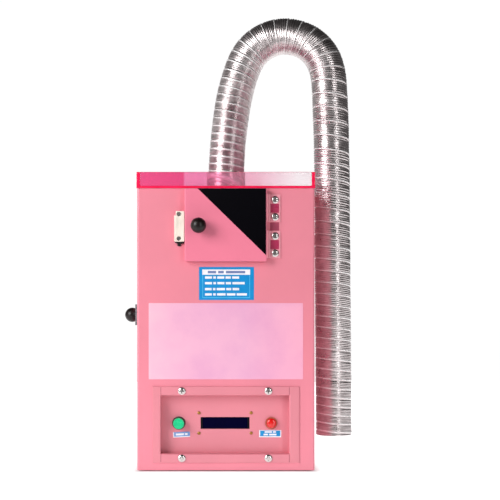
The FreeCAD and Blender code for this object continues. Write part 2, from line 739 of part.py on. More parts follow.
frame_leaves = []
door_leaves = []
pins = []
for tag, middle in (("High", "hinge_high"), ("Low", "hinge_low")):
    third = "leaf_height / 6"
    frame_y = ("front_y - leaf_gauge", "front_y")
    leaf = block(
        f"FrameLeaf{tag}",
        ("pin_x + knuckle_radius - 0.6", "leaf_reach"), frame_y, around(middle, "leaf_height / 2"),
    )
    bridge = block(
        f"FrameBridge{tag}", ("pin_x", "pin_x + knuckle_radius"), frame_y, around(middle, "leaf_height / 2")
    )
    foot = ("pin_x", "pin_y", f"{middle} - leaf_height / 2")
    knuckle = rod(f"FrameKnuckle{tag}", "knuckle_radius", "leaf_height", foot)
    gap = block(
        f"FrameGap{tag}", ("pin_x - 4", "pin_x + knuckle_radius + 0.3"), ("pin_y - 4", "front_y + 1"),
        around(middle, f"{third} + 0.2"),
    )
    below = ("pin_x", "pin_y", f"{middle} - leaf_height / 2 - 1")
    bore = rod(f"FrameBore{tag}", "pin_radius", "leaf_height + 2", below)
    leaf_holes = [
        rod(
            f"LeafHole{tag}{sign}", 1.9, 4,
            ("hinge_screw_x", "front_y - 3", f"{middle} {sign} hinge_screw_pitch"), "+y",
        )
        for sign in "+-"
    ]
    frame_leaves.append(
        cut(f"FrameHinge{tag}", fuse(f"FrameBlank{tag}", [leaf, bridge, knuckle]), [gap, bore, *leaf_holes])
    )

    outer_x = ("door_width / 2", "door_width / 2 + 1")
    plate = block(
        f"DoorLeaf{tag}", outer_x, ("-door_face + 0.5", "pin_y - 2.8"), around(middle, "leaf_height / 2")
    )
    strap = block(f"DoorStrap{tag}", outer_x, ("pin_y - 3", "pin_y"), around(middle, third))
    roll = rod(
        f"DoorKnuckle{tag}", "knuckle_radius", f"2 * {third}", ("pin_x", "pin_y", f"{middle} - {third}")
    )
    hole = rod(f"DoorBore{tag}", "pin_radius + 0.05", "leaf_height", foot)
    door_leaves.append(cut(f"DoorHinge{tag}", fuse(f"DoorBlank{tag}", [plate, strap, roll]), [hole]))

    pins.append(rod(f"Pin{tag}", "pin_radius", "leaf_height", foot))
node(group("FrameLeaves", frame_leaves), "hinge_frame_leaves")
node(group("DoorLeaves", door_leaves), "hinge_door_leaves")
node(group("Pins", pins), "hinge_pins")
hinge_screws = [
    screw(f"HingeScrew{number}", 5.4, 2.4, 1.8, 7, ("hinge_screw_x", "front_y - leaf_gauge", z), "-y")
    for number, z in enumerate(hinge_screws_z)
]
node(group("HingeScrews", hinge_screws), "hinge_screws")

# Door switch.

switch = new_body("Switch")
pad(
    switch,
    rectangle(switch, "SwitchOutline", "XZ_Plane", 14.4, 43, centre=(-65.7, 346.9), offset="-front_y"),
    8,
)
soften(switch, 1.2, lambda at, way: abs(way.y) > 0.9 or at.y < size("front_y") - 7.9)
switch_tools = []
for number, z in enumerate(SWITCH_SCREWS_Z):
    switch_tools.append(rod(f"SwitchBore{number}", 1.4, 12, ("switch_x", "front_y - 9", z), "+y"))
    switch_tools.append(rod(f"SwitchSink{number}", 3.4, 5, ("switch_x", "front_y - 9", z), "+y"))
node(cut("SwitchBody", switch, switch_tools), "reed_switch")
switch_screws = [
    screw(f"SwitchScrew{number}", 2.8, 1.5, 1.3, 8, ("switch_x", "front_y - 4", z), "-y")
    for number, z in enumerate(SWITCH_SCREWS_Z)
]
node(group("SwitchScrews", switch_screws), "reed_switch_screws")
lead_drop = rod("LeadDrop", 1.5, 4.9, ("switch_x", "front_y - 3.2", 320.5))
lead_turn = ball("LeadTurn", 2.1, ("switch_x", "front_y - 3.2", "lead_z"))
lead_in = rod("LeadIn", 1.7, 8, ("switch_x", "front_y - 3.2", "lead_z"), "+y")
node(fuse("SwitchLead", [lead_drop, lead_turn, lead_in]), "reed_switch_lead")

# Burning chamber.

liner_x = both("liner_x")
liner_y = ("liner_front", "liner_back")
liner_blank = fuse(
    "LinerBlank",
    [
        block("LinerOuter", liner_x, liner_y, ("liner_low", "liner_high")),
        block(
            "LinerThroat", both("mouth_x + liner_gauge"), ("in_y", "liner_front + 1"),
            ("mouth_low - liner_gauge", "mouth_high + liner_gauge"),
        ),
    ],
)
liner_tools = [
    block(
        "LinerInner", both("liner_x - liner_gauge"),
        ("liner_front + liner_gauge", "liner_back - liner_gauge"),
        ("liner_low + liner_gauge", "liner_high - liner_gauge"),
    ),
    block("LinerMouth", both("mouth_x"), ("in_y - 1", "liner_front + 3"), ("mouth_low", "mouth_high")),
    block("LinerDrop", both(62), (-80, 80), ("liner_low - 1", "liner_low + 4")),
    rod("LinerFlue", "spigot_radius + 0.1", 6, (0, 0, "liner_high - 3")),
    rod("LinerProbe", 3.2, 6, (0, "liner_back - 3", 330), "+y"),
]
HEATER_X = (-60, 60)
HEATER_Z = (262, 292)
for side, x in zip(("Left", "Right"), HEATER_X):
    for level, z in zip(("Low", "High"), HEATER_Z):
        liner_tools.append(rod(f"LinerHeater{side}{level}", 4.3, 6, (x, "liner_back - 3", z), "+y"))
node(cut("Liner", liner_blank, liner_tools), "chamber_liner")

wool_z = ("liner_low", "liner_high")
wool_back_tools = [rod("WoolProbe", 3.2, 30, (0, "liner_back - 3", 330), "+y")]
for side, x in zip(("Left", "Right"), HEATER_X):
    for level, z in zip(("Low", "High"), HEATER_Z):
        wool_back_tools.append(rod(f"WoolHeater{side}{level}", 4.3, 30, (x, "liner_back - 3", z), "+y"))
wool = [
    block("WoolLeft", ("-liner_x - 25", "-liner_x - 0.2"), ("in_y + 0.5", "liner_back"), wool_z),
    block("WoolRight", ("liner_x + 0.2", "liner_x + 25"), ("in_y + 0.5", "liner_back"), wool_z),
    cut(
        "WoolBack",
        block("WoolBackBlank", both("liner_x + 25"), ("liner_back + 0.2", 116.8), ("liner_low", 388)),
        wool_back_tools,
    ),
    cut(
        "WoolTop",
        block(
            "WoolTopBlank", liner_x,
            ("in_y + 0.5", 116.8), ("liner_high + 0.2", "cab_top - sheet_gauge - 0.2"),
        ),
        [rod("WoolFlue", 30, 10, (0, 0, "liner_high - 1"))],
    ),
]
node(group("Wool", wool), "chamber_insulation")

bearers = [
    block("BearerFront", liner_x, (-112, -92), ("shelf_top", "liner_low")),
    block("BearerBack", liner_x, (92, 100), ("shelf_top", "liner_low")),
]
shelf = block("Shelf", both("in_x - 0.3"), ("in_y + 0.3", 117), ("shelf_top - 1.5", "shelf_top"))
node(group("ShelfAndBearers", [shelf, *bearers]), "chamber_shelf")

grate = new_body("Grate")
pad(
    grate,
    rectangle(grate, "GrateOutline", "XY_Plane", 138, 176, offset="liner_low + liner_gauge"),
    4,
)
grate_sketch = rectangle(
    grate, "GrateSlot", "XY_Plane", 6, 150, centre=(-55, 0), offset="liner_low + liner_gauge + 4",
)
grate_slot = pocket(grate, grate_sketch, 4)
repeat(grate, grate_slot, grate_sketch, "H_Axis", 110, 11)
node(grate, "grate")

heaters = []
for side, x in zip(("Left", "Right"), HEATER_X):
    legs = [
        rod(f"Heater{side}{level}", 4, 172, (x, -60, z), "+y") for level, z in zip(("Low", "High"), HEATER_Z)
    ]
    bend = doc.addObject("Part::Torus", f"HeaterBend{side}")
    bend.Radius1 = (HEATER_Z[1] - HEATER_Z[0]) / 2
    bend.Radius2 = 4
    bend.Angle3 = 180
    middle = sum(HEATER_Z) / 2
    bend.Placement = Placement(
        Vector(x, -60, middle), Rotation(Vector(0, 0, 1), Vector(0, -1, 0), Vector(1, 0, 0), "ZXY")
    )
    heaters.append(fuse(f"HeaterLoop{side}", [*legs, bend]))
node(group("Heaters", heaters), "heating_elements")
node(rod("Probe", 3, 76, (0, 40, 330), "+y"), "thermocouple")

spigot_at = (0, 0, "liner_high - liner_gauge")
spigot = fuse(
    "SpigotBlank",
    [
        rod("SpigotWall", "spigot_radius", "spigot_top - liner_high + liner_gauge", spigot_at),
        rod("SpigotBead", "spigot_radius + 1.6", 1.5, (0, 0, "duct_start - 1.5")),
    ],
)
spigot_bore = rod("SpigotBore", "spigot_radius - spigot_gauge", 80, (0, 0, "liner_high - 10"))
node(cut("Spigot", spigot, [spigot_bore]), "flue_spigot")

# Hose clamp on the lower end of the duct.

band = tube("Band", "duct_radius + 0.9", "duct_radius + 0.1", 9, (0, 0, "duct_start + 2"))
housing_blank = block(
    "ClampHousing", (-7, 7), ("duct_radius + 0.6", "duct_radius + 7"), around("duct_start + 6.5", 6)
)
housing = cut(
    "ClampHousingCut", housing_blank,
    [
        rod("ClampRoom", "duct_radius + 0.1", 30, (0, 0, "duct_start - 5")),
        rod("WormRoom", 2.6, 20, (-10, "duct_radius + 4.1", "duct_start + 6.5"), "+x"),
    ],
)
clamp = fuse("Clamp", [band, housing])
worm = fuse(
    "Worm",
    [
        rod("WormScrew", 2.4, 18, (-8, "duct_radius + 4.1", "duct_start + 6.5"), "+x"),
        rod("WormHead", 3.4, 3, (-11, "duct_radius + 4.1", "duct_start + 6.5"), "+x"),
    ],
)
node(group("ClampAndWorm", [clamp, worm]), "hose_clamp")

# Duct: straight runs joined by tangent arcs.


def route_wire(points):
    """The centreline of the duct as a wire, with the radius of each bend."""
    points = [Vector(*point) for point in points]
    edges = []
    radii = []
    start = points[0]
    for before, corner, after in zip(points, points[1:], points[2:]):
        back = before - corner
        ahead = after - corner
        reach = BEND_SHARE * min(back.Length, ahead.Length)
        half_turn = (math.pi - back.getAngle(ahead)) / 2
        radii.append(reach / math.tan(half_turn))
        back.normalize()
        ahead.normalize()
        enter = corner + back * reach
        leave = corner + ahead * reach
        to_centre = back + ahead
        to_centre.normalize()
        centre = corner + to_centre * (radii[-1] / math.cos(half_turn))
        inward = corner - centre
        inward.normalize()
        edges.append(Part.makeLine(start, enter))
        edges.append(Part.Arc(enter, centre + inward * radii[-1], leave).toShape())
        start = leave
    edges.append(Part.makeLine(start, points[-1]))
    return Part.Wire(edges), radii


spine_wire, bend_radii = route_wire(ROUTE)
spine = doc.addObject("Part::Feature", "DuctCentreline")
spine.Shape = spine_wire
sweeps = []
for name, radius in (("DuctOuter", "duct_radius"), ("DuctInner", "duct_radius - duct_gauge")):
    section = doc.addObject("Part::Circle", name + "Section")
    section.setExpression("Radius", ex(radius))
    place(section, (0, 0, "duct_start"))
    sweep = doc.addObject("Part::Sweep", name)
    sweep.Sections = [section]
    sweep.Spine = (spine, [f"Edge{number}" for number in range(1, len(spine_wire.Edges) + 1)])
    sweep.Solid = True
    sweep.Frenet = False
    sweeps.append(sweep)
node(cut("Duct", sweeps[0], [sweeps[1]]), "exhaust_duct")

# Ash drawer on the left side.

tray = new_body("Tray")
pad(
    tray,
    rectangle(
        tray, "TrayOutline", "XY_Plane", "tray_end - drawer_gasket_x", "2 * tray_y",
        centre=("(tray_end + drawer_gasket_x) / 2", 0), offset="tray_low",
    ),
    "tray_high - tray_low",
)
soften(tray, 2.5, lambda at, way: abs(way.z) > 0.9 and at.x > 0)
pocket(
    tray,
    rectangle(
        tray, "TrayInside", "XY_Plane", "tray_end - drawer_gasket_x - 2", "2 * tray_y - 2",
        centre=("(tray_end + drawer_gasket_x) / 2", 0), offset="tray_high",
    ),
    "tray_high - tray_low - 1",
)
node(tray, "ash_tray")

front = new_body("DrawerFront")
pad(
    front,
    rectangle(
        front, "DrawerOutline", "YZ_Plane", "2 * drawer_y", "drawer_high - drawer_low",
        centre=(0, "drawer_mid"), offset="drawer_gasket_x",
    ),
    "drawer_gasket_x - drawer_face_x", reverse=True,
)
soften(front, 0.8, lambda at, way: abs(way.x) > 0.9)
drawer_hole = rod("DrawerHole", 3.1, 8, (-133, 0, "drawer_mid"), "+x")
node(cut("DrawerFrontDrilled", front, [drawer_hole]), "drawer_front")

pad_blank = block(
    "DrawerSealOuter", ("drawer_gasket_x", "-side_x - 0.05"), both("drawer_y"), ("drawer_low", "drawer_high")
)
pad_hole = block("DrawerSealInner", (-129, -124), both("tray_y + 0.1"), ("tray_low - 0.1", "tray_high + 0.5"))
node(cut("DrawerSeal", pad_blank, [pad_hole]), "drawer_gasket")

side_knob = fuse(
    "SideKnobBlank",
    [
        ball("SideKnobBall", "knob_radius", ("drawer_face_x - knob_radius - 1", 0, "drawer_mid")),
        rod("SideKnobNeck", 5.2, 5, ("drawer_face_x", 0, "drawer_mid"), "-x"),
    ],
)
side_bore = rod("SideKnobBore", 3, 10, ("drawer_face_x", 0, "drawer_mid"), "-x")
side_stud = rod("SideStud", 3, 13, ("drawer_gasket_x", 0, "drawer_mid"), "-x")
node(group("SideKnobAndStud", [cut("SideKnob", side_knob, [side_bore]), side_stud]), "drawer_knob")

runners = []
for tag, sign in (("Front", "-"), ("Back", "")):
    inner, outer = f"{sign}(slot_y - 15)", f"{sign}(slot_y + 1.2)"
    low, high = (outer, inner) if sign else (inner, outer)
    foot = block(f"RunnerFoot{tag}", (-122, 86), (low, high), ("shelf_top", "runner_top"))
    wall_low, wall_high = (outer, f"{sign}slot_y") if sign else ("slot_y", outer)
    wall = block(f"RunnerWall{tag}", (-122, 86), (wall_low, wall_high), ("shelf_top", 228))
    runners.append(fuse(f"Runner{tag}", [foot, wall]))
node(group("Runners", runners), "drawer_runners")

# Electronics bay.

bay_floor = "glide_height + sheet_gauge"
pcb = block("Pcb", (12, 108), (-60, 50), (16, 17.6))
PCB_PARTS = (
    ("Relay", (20, 39), (-52, -37), (17.6, 33)),
    ("RelaySecond", (44, 63), (-52, -37), (17.6, 33)),
    ("Terminals", (70, 104), (-56, -46), (17.6, 28)),
    ("Regulator", (88, 100), (10, 26), (17.6, 30)),
    ("Processor", (40, 68), (0, 8), (17.6, 21.5)),
)
pcb_parts = [pcb]
for name, xs, ys, zs in PCB_PARTS:
    pcb_parts.append(block(name, xs, ys, zs))
for number, (x, y) in enumerate(((26, 30), (42, 32), (82, -20))):
    pcb_parts.append(rod(f"Capacitor{number}", 5, 16, (x, y, 17.6)))
standoffs = [
    rod(f"Standoff{number}", 3, f"16 - ({bay_floor})", (x, y, bay_floor))
    for number, (x, y) in enumerate([(x, y) for x in (16, 104) for y in (-56, 46)])
]
node(group("ControlBoard", [fuse("BoardAndParts", pcb_parts), *standoffs]), "control_board")

core = block("Core", (-75, -15), (-20, 30), (bay_floor, 50))
windings = [
    block("WindingFront", (-60, -30), (-34, -20), (12, 42)),
    block("WindingBack", (-60, -30), (30, 44), (12, 42)),
]
node(group("Transformer", [core, *windings]), "transformer")
node(block("PowerRelay", (-112, -90), (-60, 0), (bay_floor, 48)), "power_relay")

fan_y = ("back_y - fan_depth", "back_y")
fan_blank = block("FanBlank", around("fan_x", "fan_half"), fan_y, around("fan_z", "fan_half"))
fan_duct = rod("FanDuct", 28, "fan_depth + 2", ("fan_x", "back_y - fan_depth - 1", "fan_z"), "+y")
fan_holes = [
    rod(f"FanBolt{number}", 2.1, "fan_depth + 2", (
        f"fan_x + {x}", "back_y - fan_depth - 1", f"fan_z + {z}"
    ), "+y")
    for number, (x, z) in enumerate([(x, z) for x in (-25, 25) for z in (-25, 25)])
]
fan_ring = cut("FanRing", fan_blank, [fan_duct, *fan_holes])
motor_y = "back_y - 5"
motor = rod("FanMotor", 13, 4, ("fan_x", motor_y, "fan_z"), "+y")
spokes = [
    block("SpokeAcross", around("fan_x", 28.5), (motor_y, "back_y - 2"), around("fan_z", 1.5)),
    block("SpokeUp", around("fan_x", 1.5), (motor_y, "back_y - 2"), around("fan_z", 28.5)),
]
node(fuse("FanFrame", [fan_ring, motor, *spokes]), "fan_frame")

rotor_parts = [rod("FanHub", 12.5, 16, ("fan_x", "back_y - 22", "fan_z"), "+y")]
BLADES = 7
BLADE_SIZE = (1.4, 14, 16.5)
rotor_centre = Vector(size("fan_x"), size("back_y") - 14, size("fan_z"))
for number in range(BLADES):
    turn = Rotation(Vector(0, 1, 0), 360 / BLADES * number)
    tilted = turn.multiply(Rotation(Vector(0, 0, 1), 48))
    blade = doc.addObject("Part::Box", f"Blade{number}")
    blade.Length, blade.Width, blade.Height = BLADE_SIZE
    corner = tilted.multVec(Vector(BLADE_SIZE[0] / 2, BLADE_SIZE[1] / 2, 0))
    blade.Placement = Placement(rotor_centre + turn.multVec(Vector(0, 0, 10)) - corner, tilted)
    rotor_parts.append(blade)
node(fuse("FanRotor", rotor_parts), "fan_rotor")

gland_at = ("gland_x", back_face, "gland_z")
gland_blank = fuse(
    "GlandBlank",
    [
        rod("GlandCollar", 11, 5, gland_at, "+y"),
        rod("GlandDome", 9.5, 16, gland_at, "+y"),
        rod("GlandThread", 8, 12, gland_at, "-y"),
    ],
)
gland_bore = rod("GlandBore", "cable_radius", 40, ("gland_x", "back_y - 20", "gland_z"), "+y")
gland = cut("Gland", gland_blank, [gland_bore])
nut_blank = doc.addObject("Part::Prism", "NutBlank")
nut_blank.Polygon = 6
nut_blank.Circumradius = 12.5
nut_blank.Height = 5
place(nut_blank, ("gland_x", "back_y - 5", "gland_z"), "+y")
nut = cut("GlandNut", nut_blank, [rod("NutBore", 8.1, 12, ("gland_x", "back_y - 8", "gland_z"), "+y")])
node(group("GlandAndNut", [gland, nut]), "cable_gland")

doc.recompute()

problems = []
for obj in doc.Objects:
    if "Invalid" in obj.State or "Error" in obj.State:
        problems.append(f"{obj.Label}: {obj.State}")
for obj in nodes:
    if obj.Shape.isNull() or not obj.Shape.isValid():
        problems.append(f"{obj.Label}: bad shape")
if problems:
    raise SystemExit("\n".join(problems))

os.makedirs("parts", exist_ok=True)
for obj in nodes:
    obj.Shape.exportStep(f"parts/{obj.Label}.step")

duct = [obj for obj in nodes if obj.Label == "exhaust_duct"][0].Shape
inner_radius = size("duct_radius") - size("duct_gauge")
section_area = math.pi * (size("duct_radius") ** 2 - inner_radius**2)
print("bend radii, mm:", [round(radius, 1) for radius in bend_radii])
print(f"duct length {spine_wire.Length:.1f} mm")
print(f"duct volume {duct.Volume:.0f} mm3, section times length {section_area * spine_wire.Length:.0f} mm3")
print(f"{len(nodes)} nodes, {len(set(obj.Label for obj in nodes))} names")
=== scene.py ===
import math

import bmesh
import bpy
import numpy as np
from mathutils import Matrix, Vector


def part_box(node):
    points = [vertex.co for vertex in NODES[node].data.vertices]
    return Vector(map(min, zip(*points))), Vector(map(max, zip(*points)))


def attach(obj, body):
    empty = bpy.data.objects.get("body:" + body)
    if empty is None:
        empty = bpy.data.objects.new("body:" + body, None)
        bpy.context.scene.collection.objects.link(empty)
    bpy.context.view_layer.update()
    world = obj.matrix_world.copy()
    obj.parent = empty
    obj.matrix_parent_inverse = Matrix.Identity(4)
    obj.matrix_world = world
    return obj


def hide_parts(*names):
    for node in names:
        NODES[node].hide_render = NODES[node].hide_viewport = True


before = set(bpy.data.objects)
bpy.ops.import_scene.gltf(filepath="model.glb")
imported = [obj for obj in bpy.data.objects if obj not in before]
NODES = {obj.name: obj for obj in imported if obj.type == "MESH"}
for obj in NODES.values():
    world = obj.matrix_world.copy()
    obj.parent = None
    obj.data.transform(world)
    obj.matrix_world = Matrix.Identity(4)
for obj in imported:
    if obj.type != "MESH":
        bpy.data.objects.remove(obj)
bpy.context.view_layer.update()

MM = 0.001


def linear(red, green, blue):
    """A colour given in 0-255 display values, as the shader wants it."""
    out = []
    for value in (red, green, blue):
        share = value / 255
        out.append(share / 12.92 if share <= 0.04045 else ((share + 0.055) / 1.055) ** 2.4)
    return (*out, 1.0)


# ---------------------------------------------------------------- camera and duct route

# Metres. The camera stands level before the cabinet's front, and VIEW_WIDTH is what it takes in there.
FRONT = -0.120
DISTANCE = 1.600
EYE_HEIGHT = 0.222
VIEW_WIDTH = 0.709
SENSOR_WIDTH = 36
CAMERA_SHIFT = (0.0483, 0.1296)
FARTHEST = 60

camera_data = bpy.data.cameras.new("studio_camera")
camera = bpy.data.objects.new("studio_camera", camera_data)
bpy.context.scene.collection.objects.link(camera)
bpy.context.scene.camera = camera
camera.location = (0, FRONT - DISTANCE, EYE_HEIGHT)
camera.rotation_euler = (math.radians(90), 0, 0)
camera_data.sensor_width = SENSOR_WIDTH
camera_data.lens = SENSOR_WIDTH * DISTANCE / VIEW_WIDTH
camera_data.shift_x, camera_data.shift_y = CAMERA_SHIFT
camera_data.clip_end = FARTHEST

# The duct's middle line in millimetres, from the spigot over the loop to its free end.
DUCT_ROUTE = [
    (0, 0, 407), (0, 0, 455), (10, 0, 547), (29, 2, 612), (57, 4, 641), (95, 5, 650), (132, 4, 636),
    (155, 2, 604), (159, 0, 550), (161.6, -1, 449), (162.6, 2, 310), (163.8, 0, 170), (164.8, 2, 40),
]
CURVE_STEPS = 40


def duct_centreline():
    """Evenly read points of the smooth line that the duct follows, from the spigot to the free end."""
    curve = bpy.data.curves.new("duct_route", "CURVE")
    curve.dimensions = "3D"
    curve.resolution_u = CURVE_STEPS
    spline = curve.splines.new("NURBS")
    spline.points.add(len(DUCT_ROUTE) - 1)
    for point, place in zip(spline.points, DUCT_ROUTE):
        point.co = (*(MM * value for value in place), 1)
    spline.order_u = 3
    spline.use_endpoint_u = True
    holder = bpy.data.objects.new("duct_route", curve)
    mesh = bpy.data.meshes.new_from_object(holder)
    points = [tuple(vertex.co) for vertex in mesh.vertices]
    bpy.data.meshes.remove(mesh)
    bpy.data.objects.remove(holder)
    bpy.data.curves.remove(curve)
    return points


# ---------------------------------------------------------------- making pieces by hand


def box_of(node):
    """The lowest and the highest corner of a CAD node."""
    low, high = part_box(node)
    return Vector(low), Vector(high)


def deselect():
    bpy.ops.object.select_all(action="DESELECT")


def take_up(piece):
    """Makes piece the only one that operators act on."""
    deselect()
    piece.select_set(True)
    bpy.context.view_layer.objects.active = piece


def name_piece(name):
    """Names the piece that was just made, and its mesh."""
    piece = bpy.context.object
    piece.name = name
    piece.data.name = name
    return piece


def settle(piece):
    """Puts the piece's place, turn and size into its mesh."""
    take_up(piece)
    bpy.ops.object.transform_apply(location=True, rotation=True, scale=True)
    return piece


def pick_edges(piece, wanted):
    """Selects the edges for which wanted, given their two ends, is true."""
    for face in piece.data.polygons:
        face.select = False
    for vertex in piece.data.vertices:
        vertex.select = False
    for edge in piece.data.edges:
        first, second = (piece.data.vertices[index].co for index in edge.vertices)
        edge.select = bool(wanted(first, second))
        if edge.select:
            for index in edge.vertices:
                piece.data.vertices[index].select = True


def edit(piece, mode, steps):
    """Runs the edit-mode operators in steps on what is picked."""
    take_up(piece)
    bpy.ops.object.mode_set(mode="EDIT")
    bpy.ops.mesh.select_mode(type=mode)
    steps()
    bpy.ops.object.mode_set(mode="OBJECT")
    return piece


def apply_modifiers(piece):
    take_up(piece)
    for modifier in list(piece.modifiers):
        bpy.ops.object.modifier_apply(modifier=modifier.name)


def bevel_all(piece, width, segments=2, angle=40):
    """Breaks every sharp edge, as deburring or a mould does."""
    modifier = piece.modifiers.new("edges", "BEVEL")
    modifier.width = width
    modifier.segments = segments
    modifier.limit_method = "ANGLE"
    modifier.angle_limit = math.radians(angle)
    apply_modifiers(piece)
    return piece


def smooth(piece, angle=35):
    """Shades piece smooth, and leaves edges sharper than angle as they are."""
    take_up(piece)
    bpy.ops.object.shade_smooth_by_angle(angle=math.radians(angle))
    return piece


LEFT_TO_RIGHT = 0
FRONT_TO_BACK = 1
CORNER_STEPS = 6
NO_LENGTH = 1e-7


def plate(name, low, high, corner=0.0, edge=0.0):
    """A plate between two corners: corner rounds it as seen from the front, and edge breaks its edges."""
    deselect()
    low, high = Vector(low), Vector(high)
    bpy.ops.mesh.primitive_cube_add(size=1, location=(low + high) / 2)
    piece = name_piece(name)
    piece.scale = high - low
    settle(piece)
    if corner:
        pick_edges(piece, lambda first, second: abs((second - first)[FRONT_TO_BACK]) > NO_LENGTH)
        edit(
            piece, "EDGE",
            lambda: bpy.ops.mesh.bevel(offset=corner, segments=CORNER_STEPS, affect="EDGES"),
        )
    if edge:
        bevel_all(piece, edge)
    return smooth(piece)


def turned(name, place, axis, outline, sides=48):
    """A round piece drawn out along axis from outline, a list of (distance along the axis, radius)."""
    deselect()
    start, radius = outline[0]
    bpy.ops.mesh.primitive_circle_add(
        vertices=sides, radius=radius, fill_type="NGON", location=(0, 0, start),
    )
    piece = settle(name_piece(name))
    piece.data.polygons[0].select = True

    def draw_out():
        before, width = start, radius
        for along, next_width in outline[1:]:
            bpy.ops.mesh.extrude_region_move(TRANSFORM_OT_translate={"value": (0, 0, along - before)})
            grow = next_width / width
            bpy.ops.transform.resize(value=(grow, grow, 1), center_override=(0, 0, along))
            before, width = along, next_width
        bpy.ops.mesh.select_all(action="SELECT")
        bpy.ops.mesh.normals_make_consistent(inside=False)

    edit(piece, "FACE", draw_out)
    piece.rotation_mode = "QUATERNION"
    piece.rotation_quaternion = Vector(axis).to_track_quat("Z", "Y")
    piece.location = place
    settle(piece)
    return smooth(piece)


def join(name, pieces):
    """Several pieces made one, each with its own finish."""
    deselect()
    for piece in pieces:
        piece.select_set(True)
    bpy.context.view_layer.objects.active = pieces[0]
    bpy.ops.object.join()
    return name_piece(name)


def finish_with(piece, *materials):
    """Gives a piece these materials and no others."""
    piece.data.materials.clear()
    for material in materials:
        piece.data.materials.append(material)
    return piece


def bore_out(piece, tool):
    """Cuts tool out of piece and removes it."""
    modifier = piece.modifiers.new("cut", "BOOLEAN")
    modifier.operation = "DIFFERENCE"
    modifier.solver = "EXACT"
    modifier.object = tool
    apply_modifiers(piece)
    bpy.data.objects.remove(tool)
    return piece


MERGE = 1e-6


def solids_of(node):
    """The boxes of the separate solids in a CAD node, left to right and then bottom to top."""
    work = bmesh.new()
    work.from_mesh(NODES[node].data)
    bmesh.ops.remove_doubles(work, verts=work.verts, dist=MERGE)
    left = set(work.verts)
    boxes = []
    while left:
        reached = [left.pop()]
        solid = []
        while reached:
            vertex = reached.pop()
            solid.append(vertex.co.copy())
            for edge in vertex.link_edges:
                other = edge.other_vert(vertex)
                if other in left:
                    left.remove(other)
                    reached.append(other)
        low = Vector(min(point[axis] for point in solid) for axis in range(3))
        high = Vector(max(point[axis] for point in solid) for axis in range(3))
        boxes.append((low, high))
    work.free()
    return sorted(boxes, key=lambda box: (round(box[0].x, 3), round(box[0].z, 3)))


def copy_of(piece, name, move):
    """Another of the same piece, with a mesh of its own, moved from the first one's place."""
    take_up(piece)
    bpy.ops.object.duplicate(linked=False)
    other = name_piece(name)
    other.location = move
    return settle(other)


def fit(piece, body, material, slot, *nodes):
    """Gives a piece its body, its material unless it has its own, and hides the nodes it stands for. slot
    is not used.
    """
    if material is not None:
        finish_with(piece, material)
    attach(piece, body)
    if nodes:
        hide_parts(*nodes)
    return piece


# ---------------------------------------------------------------- materials


def new_material(name):
    material = bpy.data.materials.new(name)
    material.use_nodes = True
    tree = material.node_tree
    return material, tree, tree.nodes["Principled BSDF"]


def add(tree, kind, **settings):
    """A new node, with its inputs or settings given by name."""
    node = tree.nodes.new(kind)
    for key, value in settings.items():
        if key in node.inputs:
            node.inputs[key].default_value = value
        else:
            setattr(node, key, value)
    return node


def noise(tree, scale, detail=2.0, stretch=(1, 1, 1), roughness=0.5):
    """Noise on Object coordinates, stretched by stretch."""
    coords = tree.nodes.new("ShaderNodeTexCoord")
    mapping = add(tree, "ShaderNodeMapping", Scale=stretch)
    tree.links.new(coords.outputs["Object"], mapping.inputs["Vector"])
    node = add(tree, "ShaderNodeTexNoise", Scale=scale, Detail=detail, Roughness=roughness)
    tree.links.new(mapping.outputs["Vector"], node.inputs["Vector"])
    return node.outputs["Fac"]


def ramp(tree, source, stops):
    """A colour ramp through stops, each a position and a colour."""
    node = tree.nodes.new("ShaderNodeValToRGB")
    elements = node.color_ramp.elements
    while len(elements) < len(stops):
        elements.new(0.5)
    for element, (position, colour) in zip(elements, stops):
        element.position = position
        element.color = colour
    tree.links.new(source, node.inputs["Fac"])
    return node.outputs["Color"]


def spread(tree, source, low, high, from_low=0.3, from_high=0.7):
    """A value run from low to high while source runs from from_low to from_high."""
    node = add(tree, "ShaderNodeMapRange")
    node.inputs["From Min"].default_value = from_low
    node.inputs["From Max"].default_value = from_high
    node.inputs["To Min"].default_value = low
    node.inputs["To Max"].default_value = high
    tree.links.new(source, node.inputs["Value"])
    return node.outputs["Result"]


def blend(tree, share, first, second, way="MIX"):
    """Two colours mixed. Each input is another node's output or a fixed value."""
    node = add(tree, "ShaderNodeMix", data_type="RGBA", blend_type=way)
    for socket, value in zip((node.inputs[0], node.inputs[6], node.inputs[7]), (share, first, second)):
        if isinstance(value, bpy.types.NodeSocket):
            tree.links.new(value, socket)
        else:
            socket.default_value = value
    return node.outputs[2]


def bump(tree, source, shader, depth, strength):
    node = add(tree, "ShaderNodeBump", Strength=strength, Distance=depth)
    tree.links.new(source, node.inputs["Height"])
    tree.links.new(node.outputs["Normal"], shader.inputs["Normal"])


def shade(tone, factor):
    """A darker or a lighter tone."""
    return (*(min(1.0, value * factor) for value in tone[:3]), 1.0)


def powder_coat(name, tone):
    """Satin powder coat: faint orange peel and slight cloudiness."""
    material, tree, shader = new_material(name)
    clouds = noise(tree, scale=14, detail=3)
    cloudy = ramp(tree, clouds, [(0.3, shade(tone, 0.965)), (0.7, shade(tone, 1.03))])
    tree.links.new(cloudy, shader.inputs["Base Color"])
    tree.links.new(spread(tree, noise(tree, scale=60), low=0.52, high=0.62), shader.inputs["Roughness"])
    shader.inputs["Specular IOR Level"].default_value = 0.95
    shader.inputs["Coat Weight"].default_value = 0.6
    shader.inputs["Coat Roughness"].default_value = 0.6
    bump(tree, noise(tree, scale=900), shader, depth=0.00008, strength=0.35)
    return material


